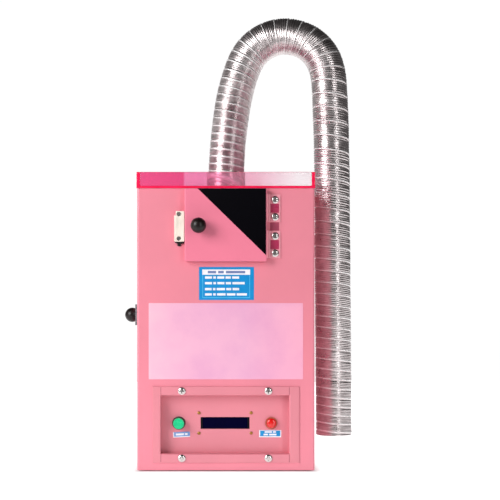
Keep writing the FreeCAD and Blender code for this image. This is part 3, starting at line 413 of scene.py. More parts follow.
def plastic(name, tone, roughness=0.3, coat=0.0, grain=1500, depth=0.00003, gloss=0.5):
    """A moulding, a print or an enamel: slightly uneven in tone and shine, with a fine grain."""
    material, tree, shader = new_material(name)
    mottle = noise(tree, scale=90, detail=3)
    uneven = ramp(tree, mottle, [(0.3, shade(tone, 0.93)), (0.7, shade(tone, 1.05))])
    worn = spread(tree, noise(tree, scale=220, detail=3), low=roughness * 0.85, high=roughness * 1.2)
    tree.links.new(uneven, shader.inputs["Base Color"])
    tree.links.new(worn, shader.inputs["Roughness"])
    shader.inputs["Coat Weight"].default_value = coat
    shader.inputs["Coat Roughness"].default_value = 0.08
    shader.inputs["Specular IOR Level"].default_value = gloss
    bump(tree, noise(tree, scale=grain), shader, depth, strength=0.4)
    return material


def metal(name, tone, roughness=0.3, stretch=(1, 1, 1), scale=300, depth=0.00002):
    """Bare metal with drawing or rolling marks that run across the axis of the greatest stretch."""
    material, tree, shader = new_material(name)
    marks = noise(tree, scale, detail=4, stretch=stretch, roughness=0.65)
    streaks = ramp(tree, marks, [(0.25, shade(tone, 0.85)), (0.75, shade(tone, 1.08))])
    tree.links.new(streaks, shader.inputs["Base Color"])
    tree.links.new(spread(tree, marks, roughness * 0.75, roughness * 1.35), shader.inputs["Roughness"])
    shader.inputs["Metallic"].default_value = 1.0
    bump(tree, marks, shader, depth, strength=0.5)
    return material


def duct_foil():
    """Bright rolled aluminium strip, dulled here and there where it has been handled."""
    material, tree, shader = new_material("duct_foil")
    patches = noise(tree, scale=45, detail=4, roughness=0.6)
    dulled = ramp(tree, patches, [(0.3, linear(188, 178, 178)), (0.7, linear(226, 218, 218))])
    tree.links.new(dulled, shader.inputs["Base Color"])
    tree.links.new(spread(tree, patches, low=0.24, high=0.38), shader.inputs["Roughness"])
    shader.inputs["Metallic"].default_value = 1.0
    bump(tree, noise(tree, scale=260, detail=3, roughness=0.7), shader, depth=0.0004, strength=0.5)
    return material


def across_tone(tree, low, high, stops):
    """A colour that changes from left to right between two places, in metres."""
    coords = tree.nodes.new("ShaderNodeTexCoord")
    split = tree.nodes.new("ShaderNodeSeparateXYZ")
    tree.links.new(coords.outputs["Object"], split.inputs["Vector"])
    return ramp(tree, spread(tree, split.outputs["X"], 0.0, 1.0, low, high), stops)


def gallery_sheet():
    """Clear fluorescent pink sheet: masked with deep pink film at its left end, paler towards its right."""
    material, tree, shader = new_material("gallery_sheet")
    low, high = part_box("acrylic_floor")
    tone = across_tone(
        tree, low[0], high[0],
        [
            (0.0, linear(242, 92, 146)), (0.262, linear(236, 86, 140)), (0.270, linear(244, 140, 184)),
            (0.36, linear(242, 140, 184)), (0.68, linear(248, 198, 216)), (0.90, linear(255, 246, 250)),
        ],
    )
    tree.links.new(tone, shader.inputs["Base Color"])
    tree.links.new(spread(tree, noise(tree, scale=120), low=0.03, high=0.07), shader.inputs["Roughness"])
    shader.inputs["Transmission Weight"].default_value = 0.75
    shader.inputs["IOR"].default_value = 1.2
    return material


def gallery_base():
    """The same sheet where it lies on the painted top: its colour shows full."""
    material, tree, shader = new_material("gallery_base")
    clouds = noise(tree, scale=30, detail=3)
    tone = ramp(tree, clouds, [(0.3, linear(240, 96, 150)), (0.7, linear(250, 118, 166))])
    tree.links.new(tone, shader.inputs["Base Color"])
    tree.links.new(spread(tree, noise(tree, scale=120), low=0.06, high=0.12), shader.inputs["Roughness"])
    shader.inputs["Coat Weight"].default_value = 0.4
    shader.inputs["Coat Roughness"].default_value = 0.04
    return material


def gallery_edge_painted_glow():
    """The sheet's sawn edges: their own crimson, plus emission as painted light for what the fluorescent
    sheet gathers there.
    """
    material, tree, shader = new_material("gallery_edge_painted_glow")
    tone = ramp(tree, noise(tree, scale=40), [(0.3, linear(214, 8, 60)), (0.7, linear(232, 24, 78))])
    tree.links.new(tone, shader.inputs["Base Color"])
    # Painted light: the edge colour is also given off as emission, though the sheet is no lamp.
    tree.links.new(tone, shader.inputs["Emission Color"])
    shader.inputs["Emission Strength"].default_value = 0.25
    tree.links.new(spread(tree, noise(tree, scale=300), low=0.12, high=0.22), shader.inputs["Roughness"])
    return material


def sticker_film():
    """Pale pink printed film with soft cloudy patches."""
    material, tree, shader = new_material("sticker_film")
    low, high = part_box("front_sticker")
    print_tone = across_tone(
        tree, low[0], high[0],
        [
            (0.0, linear(246, 190, 206)), (0.3, linear(235, 176, 202)), (0.62, linear(233, 174, 202)),
            (1.0, linear(243, 171, 196)),
        ],
    )
    patches = noise(tree, scale=22, detail=4, roughness=0.6)
    clouds = ramp(tree, patches, [(0.35, (0.93, 0.88, 0.96, 1)), (0.65, (1, 1, 1, 1))])
    tree.links.new(blend(tree, 1.0, print_tone, clouds, "MULTIPLY"), shader.inputs["Base Color"])
    tree.links.new(spread(tree, noise(tree, scale=80), low=0.28, high=0.38), shader.inputs["Roughness"])
    return material


pink_coat = powder_coat("pink_powder_coat", linear(226, 121, 140))
door_coat = powder_coat("door_powder_coat", linear(233, 112, 141))
panel_coat = powder_coat("panel_powder_coat", linear(215, 119, 134))
leaf_coat = powder_coat("hinge_powder_coat", linear(236, 146, 162))
sheet = gallery_sheet()
base_sheet = gallery_base()
glow = gallery_edge_painted_glow()
foil = duct_foil()
# Painted highlight: a near-white rough metal on the faces along the lock seam, so that the seam shows as
# bright lines.
seam_highlight_foil = metal("lock_seam_painted_highlight", linear(255, 250, 250), 0.62, scale=400)
black_gloss = plastic("black_gloss_panel", linear(4, 3, 7), 0.2, grain=600, depth=0.000004, gloss=0.12)
phenolic = plastic("black_phenolic", linear(20, 11, 10), 0.34, gloss=0.35)
black_moulding = plastic("black_moulding", linear(14, 14, 16), 0.42)
cream_moulding = plastic("cream_moulding", linear(240, 228, 214), 0.42)
nylon = plastic("nylon", linear(236, 226, 222), 0.45)
nickel = metal("nickel_plate", linear(214, 208, 206), 0.2, scale=200)
zinc = metal("zinc_plate", linear(176, 178, 182), 0.34, (1, 6, 1))
stainless = metal("stainless_sheet", linear(178, 172, 166), 0.3, (8, 1, 1))
band_steel = metal("clamp_band", linear(92, 84, 90), 0.34, (1, 1, 30), scale=60)
chamber_steel = metal("heat_tinted_steel", linear(146, 130, 114), 0.36, (1, 8, 1))
iron = metal("cast_iron", linear(74, 70, 68), 0.62, scale=500, depth=0.0001)
brass = metal("brass", linear(176, 130, 72), 0.32, scale=400)
film_blue = plastic("label_blue", linear(0, 138, 204), 0.34)
film_pale_blue = plastic("label_pale_blue", linear(72, 176, 224), 0.34)
film_lamp_blue = plastic("label_lamp_blue", linear(112, 152, 206), 0.34)
film_grey = plastic("label_grey", linear(112, 128, 172), 0.34)
film_white = plastic("label_white", linear(236, 236, 240), 0.34)
pink_film = sticker_film()
lens_green = plastic("lens_green", linear(10, 196, 130), 0.26, coat=0.3)
dark_green = plastic("bezel_green", linear(10, 62, 44), 0.32)
cap_red = plastic("cap_red", linear(214, 12, 8), 0.2, coat=0.5)
ring_tan = plastic("ring_tan", linear(176, 92, 72))
glass_navy = plastic("display_glass", linear(2, 1, 34), 0.2, grain=600, depth=0.000004, gloss=0.04)
bezel_black = plastic("display_frame", linear(4, 4, 8), 0.4, gloss=0.15)
board_green = plastic("circuit_board", linear(22, 96, 60), 0.4)
wool = plastic("ceramic_wool", linear(226, 220, 206), 0.9, grain=700, depth=0.0006)
seal_black = plastic("rubber_seal", linear(26, 26, 26), 0.7)
# Painted reflection: the dark magenta that the glossy hinge leaves show where they mirror dark
# surroundings.
leaf_painted_reflection = plastic("hinge_painted_shading", linear(178, 48, 88), coat=0.2)
# Painted shadow: the shaded cabinet front between the two hinge leaves.
gap_painted_shadow = plastic("hinge_gap_painted_shadow", linear(166, 66, 92), 0.4)
joint_paint = plastic("flange_joint_paint", linear(158, 74, 90), 0.5)

# Every CAD node gets its finish, also those that a finer piece replaces below.
NODE_FINISHES = {
    pink_coat: ["cabinet_shell", "base_plate", "top_plate", "back_panel"],
    panel_coat: ["control_panel"],
    door_coat: ["door_skin"],
    leaf_coat: ["hinge_frame_leaves", "hinge_door_leaves"],
    nickel: ["cabinet_screws", "hinge_screws", "panel_screws", "reed_switch_screws"],
    nylon: ["base_glides"],
    board_green: ["lcd_board", "control_board"],
    bezel_black: ["lcd_bezel"],
    black_moulding: ["reed_switch_lead", "power_relay", "fan_frame", "fan_rotor", "cable_gland"],
    glass_navy: ["lcd_glass"],
    brass: ["lcd_screws"],
    dark_green: ["lamp_bezel"],
    lens_green: ["lamp_lens"],
    ring_tan: ["button_bezel"],
    cap_red: ["button_cap"],
    film_blue: ["lamp_label", "button_label", "operating_label"],
    pink_film: ["front_sticker"],
    black_gloss: ["door_trim"],
    wool: ["door_insulation", "chamber_insulation"],
    stainless: ["door_liner", "flue_spigot", "ash_tray", "thermocouple", "heating_elements"],
    seal_black: ["door_gasket", "drawer_gasket"],
    phenolic: ["door_knob", "drawer_knob"],
    zinc: ["door_magnet", "hinge_pins", "chamber_shelf", "drawer_front", "drawer_runners"],
    band_steel: ["hose_clamp"],
    chamber_steel: ["chamber_liner"],
    iron: ["grate", "transformer"],
    cream_moulding: ["reed_switch"],
    sheet: [
        "acrylic_floor", "acrylic_front_rail", "acrylic_back_rail", "acrylic_left_rail",
        "acrylic_right_rail",
    ],
    foil: ["exhaust_duct"],
}
for finish, names in NODE_FINISHES.items():
    for node_name in names:
        finish_with(NODES[node_name], finish)


# ---------------------------------------------------------------- duct

# Radii, rises, heights, depths and the seam's half width are in millimetres, and places and lengths
# along the duct in metres. The groove's place and half width are shares of the seam's half width.
CORRUGATIONS = 6
ROWS_PER_TURN = 30
AROUND = 40
FINE_POINTS = 4001
LINING_ROWS = 150
CREST = 26.9
FOLD = 0.5
WIDEST = 27.4
LINING = 25.0
SEAM_HALF_WIDTH = 1.25
SEAM_HEIGHT = 0.55
GROOVE_DEPTH = 1.1
GROOVE_PLACE = 1.8
GROOVE_HALF_WIDTH = 0.6
# Half width in millimetres of the painted seam highlight, and the shares it is narrowed to over the loop,
# where the seams catch less light.
SEAM_HIGHLIGHT_HALF_WIDTH = 0.95
LOOP_REACH = [0.20, 0.25, 0.40, 0.45]
LOOP_HIGHLIGHT_SHARES = [1.0, 0.5, 0.5, 1.0]
SLEEVE_START = 0.30
SLEEVE_END = 0.062
SLEEVE_RISE = 0.2
FLARE_LENGTH = 0.01
FLARE_RISE = 0.35
SEAM_PLACES = [0.0, 0.16, 0.24, 0.40, 0.55, 0.62, 0.78, 0.90]
SEAM_PITCHES = [0.0108, 0.0118, 0.0150, 0.0205, 0.0225, 0.0190, 0.0160, 0.0125]


def seam_pitch(along):
    """How far apart the seam's turns lie: squeezed near the spigot, drawn out after the loop."""
    return np.interp(along, SEAM_PLACES, SEAM_PITCHES)


def strip_profile(turn, along, angle, total):
    """The radius across the strip: uneven folds, and at half a turn the lock seam's ridge and groove."""
    phase = turn % 1.0
    fold = np.floor(turn * CORRUGATIONS).astype(int) + CORRUGATIONS
    uneven = np.random.default_rng(5).uniform(0.3, 1.35, fold.max() + 1)[fold]
    uneven = uneven * (1 + 0.4 * np.sin(3 * angle + 2.4 * fold))
    folds = FOLD * uneven * np.cos(math.tau * CORRUGATIONS * phase)
    from_seam = (phase - 0.5) * seam_pitch(along) / MM
    ridge = np.clip(1 - (from_seam / SEAM_HALF_WIDTH) ** 2, 0, 1)
    from_groove = (from_seam / SEAM_HALF_WIDTH - GROOVE_PLACE) / GROOVE_HALF_WIDTH
    groove = np.clip(1 - from_groove ** 2, 0, 1)
    dents = 0.14 * np.sin(angle * 2 + along * 61) + 0.1 * np.sin(angle * 3 - along * 97)
    on_sleeve = (along > total - SLEEVE_START) & (along < total - SLEEVE_END)
    sleeve = np.where(on_sleeve, SLEEVE_RISE, 0.0)
    flare = FLARE_RISE * np.clip((along - total + FLARE_LENGTH) / FLARE_LENGTH, 0, 1)
    seam = SEAM_HEIGHT * ridge - GROOVE_DEPTH * groove
    return np.minimum(CREST + dents + sleeve + flare + folds * (1 - ridge) + seam, WIDEST)


def duct_skin():
    """The corrugated strip duct: a spiral-folded wall, and a plain inner wall joined to it at both ends."""
    line = np.array(duct_centreline())
    lengths = np.linalg.norm(np.diff(line, axis=0), axis=1)
    reach = np.concatenate([[0], np.cumsum(lengths)])
    total = reach[-1]

    fine = np.linspace(0, total, FINE_POINTS)
    pitches = seam_pitch((fine[1:] + fine[:-1]) / 2)
    turns = np.concatenate([[0], np.cumsum(np.diff(fine) / pitches)])
    points = np.stack([np.interp(fine, reach, line[:, axis]) for axis in range(3)], axis=1)
    ahead = np.gradient(points, axis=0)
    ahead /= np.linalg.norm(ahead, axis=1)[:, None]
    side = np.cross(ahead, (0, -1, 0))
    side /= np.linalg.norm(side, axis=1)[:, None]
    front = np.cross(side, ahead)

    def around(along, angle, radius):
        middle, across, out = (
            np.stack([np.interp(along, fine, source[:, axis]) for axis in range(3)], axis=-1)
            for source in (points, side, front)
        )
        spoke = np.cos(angle)[..., None] * across + np.sin(angle)[..., None] * out
        return middle + MM * radius[..., None] * spoke

    last = int(turns[-1] * ROWS_PER_TURN) + 1
    row_turn = np.arange(-ROWS_PER_TURN, last + 1)[:, None] / ROWS_PER_TURN
    grid_turn = row_turn + np.arange(AROUND)[None, :] / AROUND
    at_rim = (grid_turn <= 0) | (grid_turn >= turns[-1])
    along = np.interp(np.clip(grid_turn, 0, turns[-1]), turns, fine)
    angle = np.broadcast_to(np.arange(AROUND)[None, :] * math.tau / AROUND, along.shape)
    turn = np.broadcast_to(row_turn, along.shape)
    radius = np.where(at_rim, CREST, strip_profile(turn, along, angle, total))
    outer = around(along, angle, radius)
    rows = along.shape[0]

    inner_along = np.repeat(np.linspace(0, total, LINING_ROWS)[:, None], AROUND, 1)
    inner_angle = np.broadcast_to(angle[:1], inner_along.shape)
    inner = around(inner_along, inner_angle, np.full(inner_along.shape, LINING))

    # The outer wall is one spiral: each row's last face leads on to the row a whole turn further.
    faces = []
    for row in range(rows - 1):
        here, above = row * AROUND, (row + 1) * AROUND
        for step in range(AROUND - 1):
            faces.append((here + step, here + step + 1, above + step + 1, above + step))
        turn_on = min(row + ROWS_PER_TURN, rows - 1) * AROUND
        turn_above = min(row + 1 + ROWS_PER_TURN, rows - 1) * AROUND
        faces.append((here + AROUND - 1, turn_on, turn_above, above + AROUND - 1))
    first = rows * AROUND
    for band in range(LINING_ROWS - 1):
        here, above = first + band * AROUND, first + (band + 1) * AROUND
        for step in range(AROUND):
            after = (step + 1) % AROUND
            faces.append((here + after, here + step, above + step, above + after))
    outer_end, inner_end = (rows - 1) * AROUND, first + (LINING_ROWS - 1) * AROUND
    for outer_rim, inner_rim in ((0, first), (outer_end, inner_end)):
        for step in range(AROUND):
            after = (step + 1) % AROUND
            faces.append((outer_rim + step, outer_rim + after, inner_rim + after, inner_rim + step))

    mesh = bpy.data.meshes.new("corrugated_duct")
    vertices = np.concatenate([outer.reshape(-1, 3), inner.reshape(-1, 3)])
    # Faces near each seam get the second material, the painted highlight, in a band narrowed over the loop.
    wall_phase = (row_turn[:-1, 0] + 0.5 / ROWS_PER_TURN) % 1.0
    wall_along = np.interp(row_turn[:-1, 0], turns, fine)
    shine = SEAM_HIGHLIGHT_HALF_WIDTH * np.interp(wall_along, LOOP_REACH, LOOP_HIGHLIGHT_SHARES)
    on_seam_highlight = np.abs(wall_phase - 0.5) * seam_pitch(wall_along) / MM < shine
    work = bmesh.new()
    made = [work.verts.new(vertex) for vertex in vertices.tolist()]
    for number, face in enumerate(faces):
        corners = [made[index] for index in dict.fromkeys(face)]
        if len(corners) > 2:
            row = number // AROUND
            work.faces.new(corners).material_index = int(row < len(on_seam_highlight) and on_seam_highlight[row])
    bmesh.ops.remove_doubles(work, verts=work.verts, dist=2 * MERGE)
    bmesh.ops.recalc_face_normals(work, faces=work.faces)
    for face in work.faces:
        face.smooth = True
    work.to_mesh(mesh)
    work.free()
    piece = bpy.data.objects.new("corrugated_duct", mesh)
    bpy.context.scene.collection.objects.link(piece)
    return piece


duct = duct_skin()
for finish in (foil, seam_highlight_foil):
    duct.data.materials.append(finish)
fit(duct, "cabinet", None, "duct_aluminium", "exhaust_duct")
duct_centreline()

# ---------------------------------------------------------------- gallery

RAIL_EDGE = 0.0008
FLOOR_EDGE = 0.0003
SPIGOT_GAP = 0.0004
BROAD = 0.9
CLEAR = 0.002


def gallery_rail(node, across):
    """A rail of the gallery, thin along the axis across: clear on its broad faces, with painted light
    (emission) on its edges.
    """
    low, high = box_of(node)
    piece = finish_with(plate(node + "_sheet", low, high, edge=RAIL_EDGE), sheet, glow)
    for face in piece.data.polygons:
        face.material_index = 0 if abs(face.normal[across]) > BROAD else 1
    return fit(piece, "cabinet", None, "pink_acrylic", node)


def gallery_floor(node):
    """The gallery's floor, bored for the spigot, with painted light (emission) on its edges all round."""
    low, high = box_of(node)
    spigot_low, spigot_high = box_of("flue_spigot")
    piece = plate(node + "_sheet", low, high)
    radius = (spigot_high.x - spigot_low.x) / 2 + SPIGOT_GAP
    middle = (spigot_low + spigot_high) / 2
    place = (middle.x, middle.y, low.z - CLEAR)
    bore_out(piece, turned("bore", place, (0, 0, 1), [(0, radius), (high.z - low.z + 2 * CLEAR, radius)]))
    bevel_all(piece, FLOOR_EDGE)
    finish_with(piece, base_sheet, glow)
    for face in piece.data.polygons:
        face.material_index = 0 if abs(face.normal.z) > BROAD else 1
    smooth(piece)
    return fit(piece, "cabinet", None, "pink_acrylic", node)


gallery_rail("acrylic_front_rail", FRONT_TO_BACK)
gallery_rail("acrylic_back_rail", FRONT_TO_BACK)
gallery_rail("acrylic_left_rail", LEFT_TO_RIGHT)
gallery_rail("acrylic_right_rail", LEFT_TO_RIGHT)
gallery_floor("acrylic_floor")

# ---------------------------------------------------------------- screws

# Shares of the head's radius.
HEAD_SHARE = 0.45
SHANK_SHARE = 0.52
RECESS_WIDTH = 0.30
RECESS_REACH = 0.62
RECESS_DEPTH = 0.34


def screw(name, length, radius):
    """A pan-head screw standing on its tip at the origin, with a cross recess in its head."""
    shank = radius * SHANK_SHARE
    seat = length - radius * HEAD_SHARE
    outline = [
        (0, shank * 0.7), (shank * 0.5, shank), (seat, shank), (seat, radius * 0.98),
        (seat + radius * 0.14, radius), (seat + radius * 0.28, radius * 0.86),
        (seat + radius * 0.38, radius * 0.60), (length, radius * 0.25),
    ]
    piece = turned(name, (0, 0, 0), (0, 0, 1), outline, 32)
    half_width = radius * RECESS_WIDTH / 2
    reach, depth = radius * RECESS_REACH, radius * RECESS_DEPTH
    for across, along in ((half_width, reach), (reach, half_width)):
        slot = plate("recess", (-across, -along, length - depth), (across, along, length + depth))
        bore_out(piece, slot)
    return smooth(piece, 30)


def fit_screws(node, facing, material, slot="bright_screw"):
    """Screws at every place where the CAD node has one, joined as one piece: facing is -1 to the front."""
    boxes = solids_of(node)
    low, high = boxes[0]
    length, radius = high.y - low.y, (high.x - low.x) / 2
    first = screw(node + "_first", length, radius)
    first.rotation_mode = "QUATERNION"
    first.rotation_quaternion = Vector((0, facing, 0)).to_track_quat("Z", "Y")
    settle(first)
    made = []
    for number, (low, high) in enumerate(boxes):
        tip = high.y if facing < 0 else low.y
        place = ((low.x + high.x) / 2, tip, (low.z + high.z) / 2)
        made.append(copy_of(first, f"{node}_{number}", place))
    bpy.data.objects.remove(first)
    piece = join(node + "_heads", made)
    return fit(piece, "cabinet", material, slot, node)


fit_screws("hinge_screws", -1, nickel)
fit_screws("panel_screws", -1, nickel)
fit_screws("lcd_screws", -1, brass, "brass")
fit_screws("reed_switch_screws", -1, zinc)
fit_screws("cabinet_screws", 1, nickel)

# ---------------------------------------------------------------- knobs


NECK_SHARE = 0.46
FOOT = [(0, 1.25), (0.0012, 1.35), (0.0024, 1.25), (0.0034, 1.0)]
BALL_START = 152
BALL_STEP = 10.4
BALL_RINGS = 15


def knob(node, along, body):
    """A ball knob that stands out against the axis along, on a waisted neck with a rounded foot."""
    low, high = box_of(node)
    radius = (high.z - low.z) / 2
    centre = (high - low)[along] - radius
    neck = radius * NECK_SHARE
    outline = [(height, neck * share) for height, share in FOOT]
    for ring in range(BALL_RINGS):
        turn = math.radians(BALL_START - ring * BALL_STEP)
        outline.append((centre + radius * math.cos(turn), radius * math.sin(turn)))
    foot = (low + high) / 2
    foot[along] = high[along]
    axis = Vector()
    axis[along] = -1
    piece = turned(node + "_ball", foot, axis, outline, 56)
    smooth(piece, 60)
    return fit(piece, body, phenolic, "black_knob", node)


knob("door_knob", FRONT_TO_BACK, "hopper_door")
knob("drawer_knob", LEFT_TO_RIGHT, "ash_drawer")

# ---------------------------------------------------------------- labels

PRINT = 0.00006
CARD_CORNER = 0.0006
STICKER_CORNER = 0.0008
DASH_GAP = 0.8


def bar(left, right, bottom, top, finish, layer=1):
    """One printed bar, its sides in shares of the label's width and height."""
    return left, right, bottom, top, finish, layer


def printed_label(node, card, bars, tilt=0.0):
    """A stuck label with its printing as raised bars."""
    low, high = box_of(node)
    width, height = high.x - low.x, high.z - low.z
    made = [finish_with(plate(node + "_card", low, high, corner=CARD_CORNER), card)]
    for number, (left, right, bottom, top, finish, layer) in enumerate(bars):
        start = (low.x + left * width, low.y - layer * PRINT, low.z + bottom * height)
        end = (low.x + right * width, low.y, low.z + top * height)
        made.append(finish_with(plate(f"{node}_bar_{number}", start, end), finish))
    piece = join(node + "_print", made)
    if tilt:
        middle = (low + high) / 2
        turn = Matrix.Rotation(math.radians(tilt), 4, "Y")
        piece.data.transform(Matrix.Translation(middle) @ turn @ Matrix.Translation(-middle))
    return fit(piece, "cabinet", None, "label_blue", node)


def dashes(left, right, middle, thickness, words, finish, layer=1):
    """A row of plain dashes, as long as words says, filling a stretch."""
    unit = (right - left) / (sum(words) + DASH_GAP * (len(words) - 1))
    row = []
    start = left
    for word in words:
        end = start + word * unit
        row.append(bar(start, end, middle - thickness / 2, middle + thickness / 2, finish, layer))
        start = end + DASH_GAP * unit
    return row


operating_bars = [
    bar(0.06, 0.93, 0.765, 0.925, film_white), bar(0.06, 0.075, 0.06, 0.765, film_pale_blue),
    bar(0.915, 0.93, 0.06, 0.765, film_pale_blue), bar(0.075, 0.915, 0.06, 0.085, film_pale_blue),
]
operating_bars += dashes(0.16, 0.84, 0.845, 0.075, (3, 2, 7), film_grey, 2)
for row_middle, row_end, row_words in (
    (0.68, 0.73, (4, 1.5, 4, 3, 4)), (0.51, 0.83, (4, 1.5, 4, 3, 7)),
    (0.33, 0.73, (4, 1.5, 5, 3, 4)), (0.17, 0.87, (4, 1.5, 5, 5, 6)),
):
    operating_bars += dashes(0.11, row_end, row_middle, 0.07, row_words, film_white)

printed_label("operating_label", film_blue, operating_bars)
printed_label(
    "lamp_label", film_lamp_blue,
    [bar(0.0, 1.0, 0.0, 0.14, film_white), bar(0.0, 0.05, 0.14, 1.0, film_white)]
    + dashes(0.17, 0.86, 0.55, 0.34, (6, 2), film_white),
    tilt=-3.0,
)
printed_label(
    "button_label", film_blue,
    [
        bar(0.0, 1.0, 0.0, 0.14, film_white), bar(0.0, 0.045, 0.14, 1.0, film_white),
        bar(0.045, 1.0, 0.93, 1.0, film_white), bar(0.96, 1.0, 0.14, 0.93, film_white),
    ]
    + dashes(0.25, 0.76, 0.74, 0.2, (5, 2), film_white) + dashes(0.2, 0.78, 0.38, 0.22, (3, 5), film_white),
)

sticker = plate("front_sticker_film", *box_of("front_sticker"), corner=STICKER_CORNER)
fit(sticker, "cabinet", pink_film, "sticker_pink", "front_sticker")

# ---------------------------------------------------------------- hinge painted reflection and shadow

PATCH_THICKNESS = 0.0002
PATCH_WIDTH = 2.35
PIN_GAP = 0.0008
SCREW_GAP = 0.0003
LEAF_GAP = 0.0004


def hinge_painted_shading():
    """Painted reflection: dark magenta patches between the screws of each leaf. Painted shadow: a darker
    pink patch on the cabinet between the two leaves.
    """
    screws = solids_of("hinge_screws")
    radius = (screws[0][1].x - screws[0][0].x) / 2
    leaf_face = screws[0][0].y + HEAD_SHARE * radius
    cabinet_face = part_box("cabinet_shell")[0][1]
    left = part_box("hinge_pins")[1][0] + PIN_GAP
    right = left + PATCH_WIDTH * radius
    rows = sorted((low.z + high.z) / 2 for low, high in screws)
    gap = radius + SCREW_GAP
    made = []
    # Painted reflection patches, one on each leaf between its two screws.
    for lower, upper in ((rows[0], rows[1]), (rows[2], rows[3])):
        start = (left, leaf_face - PATCH_THICKNESS, lower + gap)
        end = (right, leaf_face, upper - gap)
        made.append(finish_with(plate("leaf_painted_reflection_patch", start, end, corner=0.0005), leaf_painted_reflection))
    # Painted shadow: a darker pink sheet on the cabinet front between the two leaves.
    leaves = sorted(solids_of("hinge_frame_leaves"), key=lambda box: box[0].z)
    start = (left, cabinet_face - PATCH_THICKNESS, leaves[0][1].z + LEAF_GAP)
    end = (right, cabinet_face, leaves[-1][0].z - LEAF_GAP)
    made.append(finish_with(plate("gap_painted_shadow_patch", start, end), gap_painted_shadow))
    return fit(join("hinge_painted_shading_patches", made), "cabinet", None, "powder_pink")


hinge_painted_shading()

# ---------------------------------------------------------------- indicator lamp and start button


LENS_FACE = 0.0011
THREAD_PITCH = 0.0015
THREAD_DEPTH = 0.95
RIM = 0.0032
CROWN = 0.0006
DOME = 0.0030
DOME_RINGS = 9


def turned_to_front(name, low, high, outline, sides):
    """A round fitting drawn out from the middle of its rear end to the front."""
    foot = ((low.x + high.x) / 2, high.y, (low.z + high.z) / 2)
    return turned(name, foot, (0, -1, 0), outline, sides)


def lamp_cap():
    """The flat green lens, with a rounded shoulder, held in a dark collar."""
    low, high = box_of("lamp_lens")
    radius, length = (high.x - low.x) / 2, high.y - low.y
    outline = [
        (0, radius), (length - 0.0016, radius), (length - 0.0006, radius * 0.975), (length, radius * 0.93),
        (length, radius * 0.6), (length, radius * 0.2),
    ]
    piece = finish_with(turned_to_front("lamp_lens_cap", low, high, outline, 64), lens_green, dark_green)
    for face in piece.data.polygons:
        face.material_index = 0 if face.center.y < low.y + LENS_FACE else 1
    return fit(piece, "cabinet", None, "lamp_green", "lamp_lens")


def lamp_collar():
    """The lamp's screwed-in collar with a rounded rim, on a threaded barrel."""
    low, high = box_of("lamp_bezel")
    radius, length = (high.x - low.x) / 2, high.y - low.y
    barrel = radius * 0.86
    outline = [(0, barrel)]
    thread = 0.0
    while thread + 0.0016 < length - RIM:
        outline += [
            (thread + 0.0006, barrel), (thread + 0.0009, barrel * THREAD_DEPTH),
            (thread + THREAD_PITCH, barrel),
        ]
        thread += THREAD_PITCH
    outline += [
        (length - 0.0022, barrel), (length - 0.0021, radius * 0.98), (length - 0.0012, radius),
        (length - CROWN, radius * 0.985), (length, radius * 0.93), (length, radius * 0.5),
        (length, radius * 0.2),
    ]
    piece = turned_to_front("lamp_collar", low, high, outline, 56)
    return fit(piece, "cabinet", dark_green, "lamp_dark_green", "lamp_bezel")


def button_dome():
    """The red push button, domed on its face, on its stem."""
    low, high = box_of("button_cap")
    radius, length = (high.x - low.x) / 2, high.y - low.y
    shoulder = length - DOME
    outline = [(0, radius * 0.97), (0.0004, radius), (shoulder, radius)]
    for ring in range(1, DOME_RINGS):
        lean = math.radians(90 * ring / DOME_RINGS)
        outline.append((shoulder + DOME * math.sin(lean), radius * (0.12 + 0.88 * math.cos(lean))))
    outline.append((length, radius * 0.06))
    piece = turned_to_front("button_dome", low, high, outline, 56)
    smooth(piece, 50)
    return fit(piece, "start_button", cap_red, "button_red", "button_cap")


lamp_cap()
lamp_collar()
button_dome()

# ---------------------------------------------------------------- control panel joints and door trim

SIDE_FLANGES = (0.0119, 0.0141)
RAIL_FLANGE = 0.013
JOINT_WIDTH = 0.0007
JOINT_PROUD = 0.0001
JOINT_END_GAP = 0.0012
JOINT_EDGE = 0.00008
TRIM_TOP_GAP = 0.0004
TRIM_EDGE = 0.0002


def panel_joints():
    """The painted-over joints where the panel's side flanges meet its top and bottom ones."""
    low, high = box_of("control_panel")
    made = []
    for place in (low.x + SIDE_FLANGES[0], high.x - SIDE_FLANGES[1]):
        for bottom, top in ((low.z, low.z + RAIL_FLANGE), (high.z - RAIL_FLANGE, high.z)):
            start = (place - JOINT_WIDTH / 2, low.y - JOINT_PROUD, bottom + JOINT_END_GAP)
            end = (place + JOINT_WIDTH / 2, low.y + JOINT_PROUD, top - JOINT_END_GAP)
            made.append(plate("flange_joint", start, end, edge=JOINT_EDGE))
    return fit(join("panel_flange_joints", made), "cabinet", joint_paint, "powder_pink")


def door_triangle():
    """The black panel let into the door's upper right half, up to the door's top edge."""
    low, high = box_of("door_trim")
    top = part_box("door_skin")[1][2] - TRIM_TOP_GAP
    piece = plate("door_black_panel", low, (high.x, high.y, top))
    slope = (low.z - high.z, 0, low.x - high.x)

    def cut_corner_off():
        bpy.ops.mesh.select_all(action="SELECT")
        bpy.ops.mesh.bisect(
            plane_co=(low.x, low.y, high.z), plane_no=slope, clear_outer=True, use_fill=True,
        )

    edit(piece, "FACE", cut_corner_off)
    bevel_all(piece, TRIM_EDGE)
    smooth(piece)
    return fit(piece, "hopper_door", black_gloss, "black_trim", "door_trim")


panel_joints()
door_triangle()

# ---------------------------------------------------------------- door switch


NOTCH_WIDTH = 0.0023
NOTCH_HEIGHT = 0.006
WELL_GAP = 0.0003
WELL_LENGTH = 0.02
CORE_PITCH = 0.0025
CORE_DROPS = (0.0019, 0.0027, 0.0022, 0.0030, 0.0024)
CORE_REACH = 0.0032
CORE_GAP = 0.0002
BOOT_REACH = 0.0014


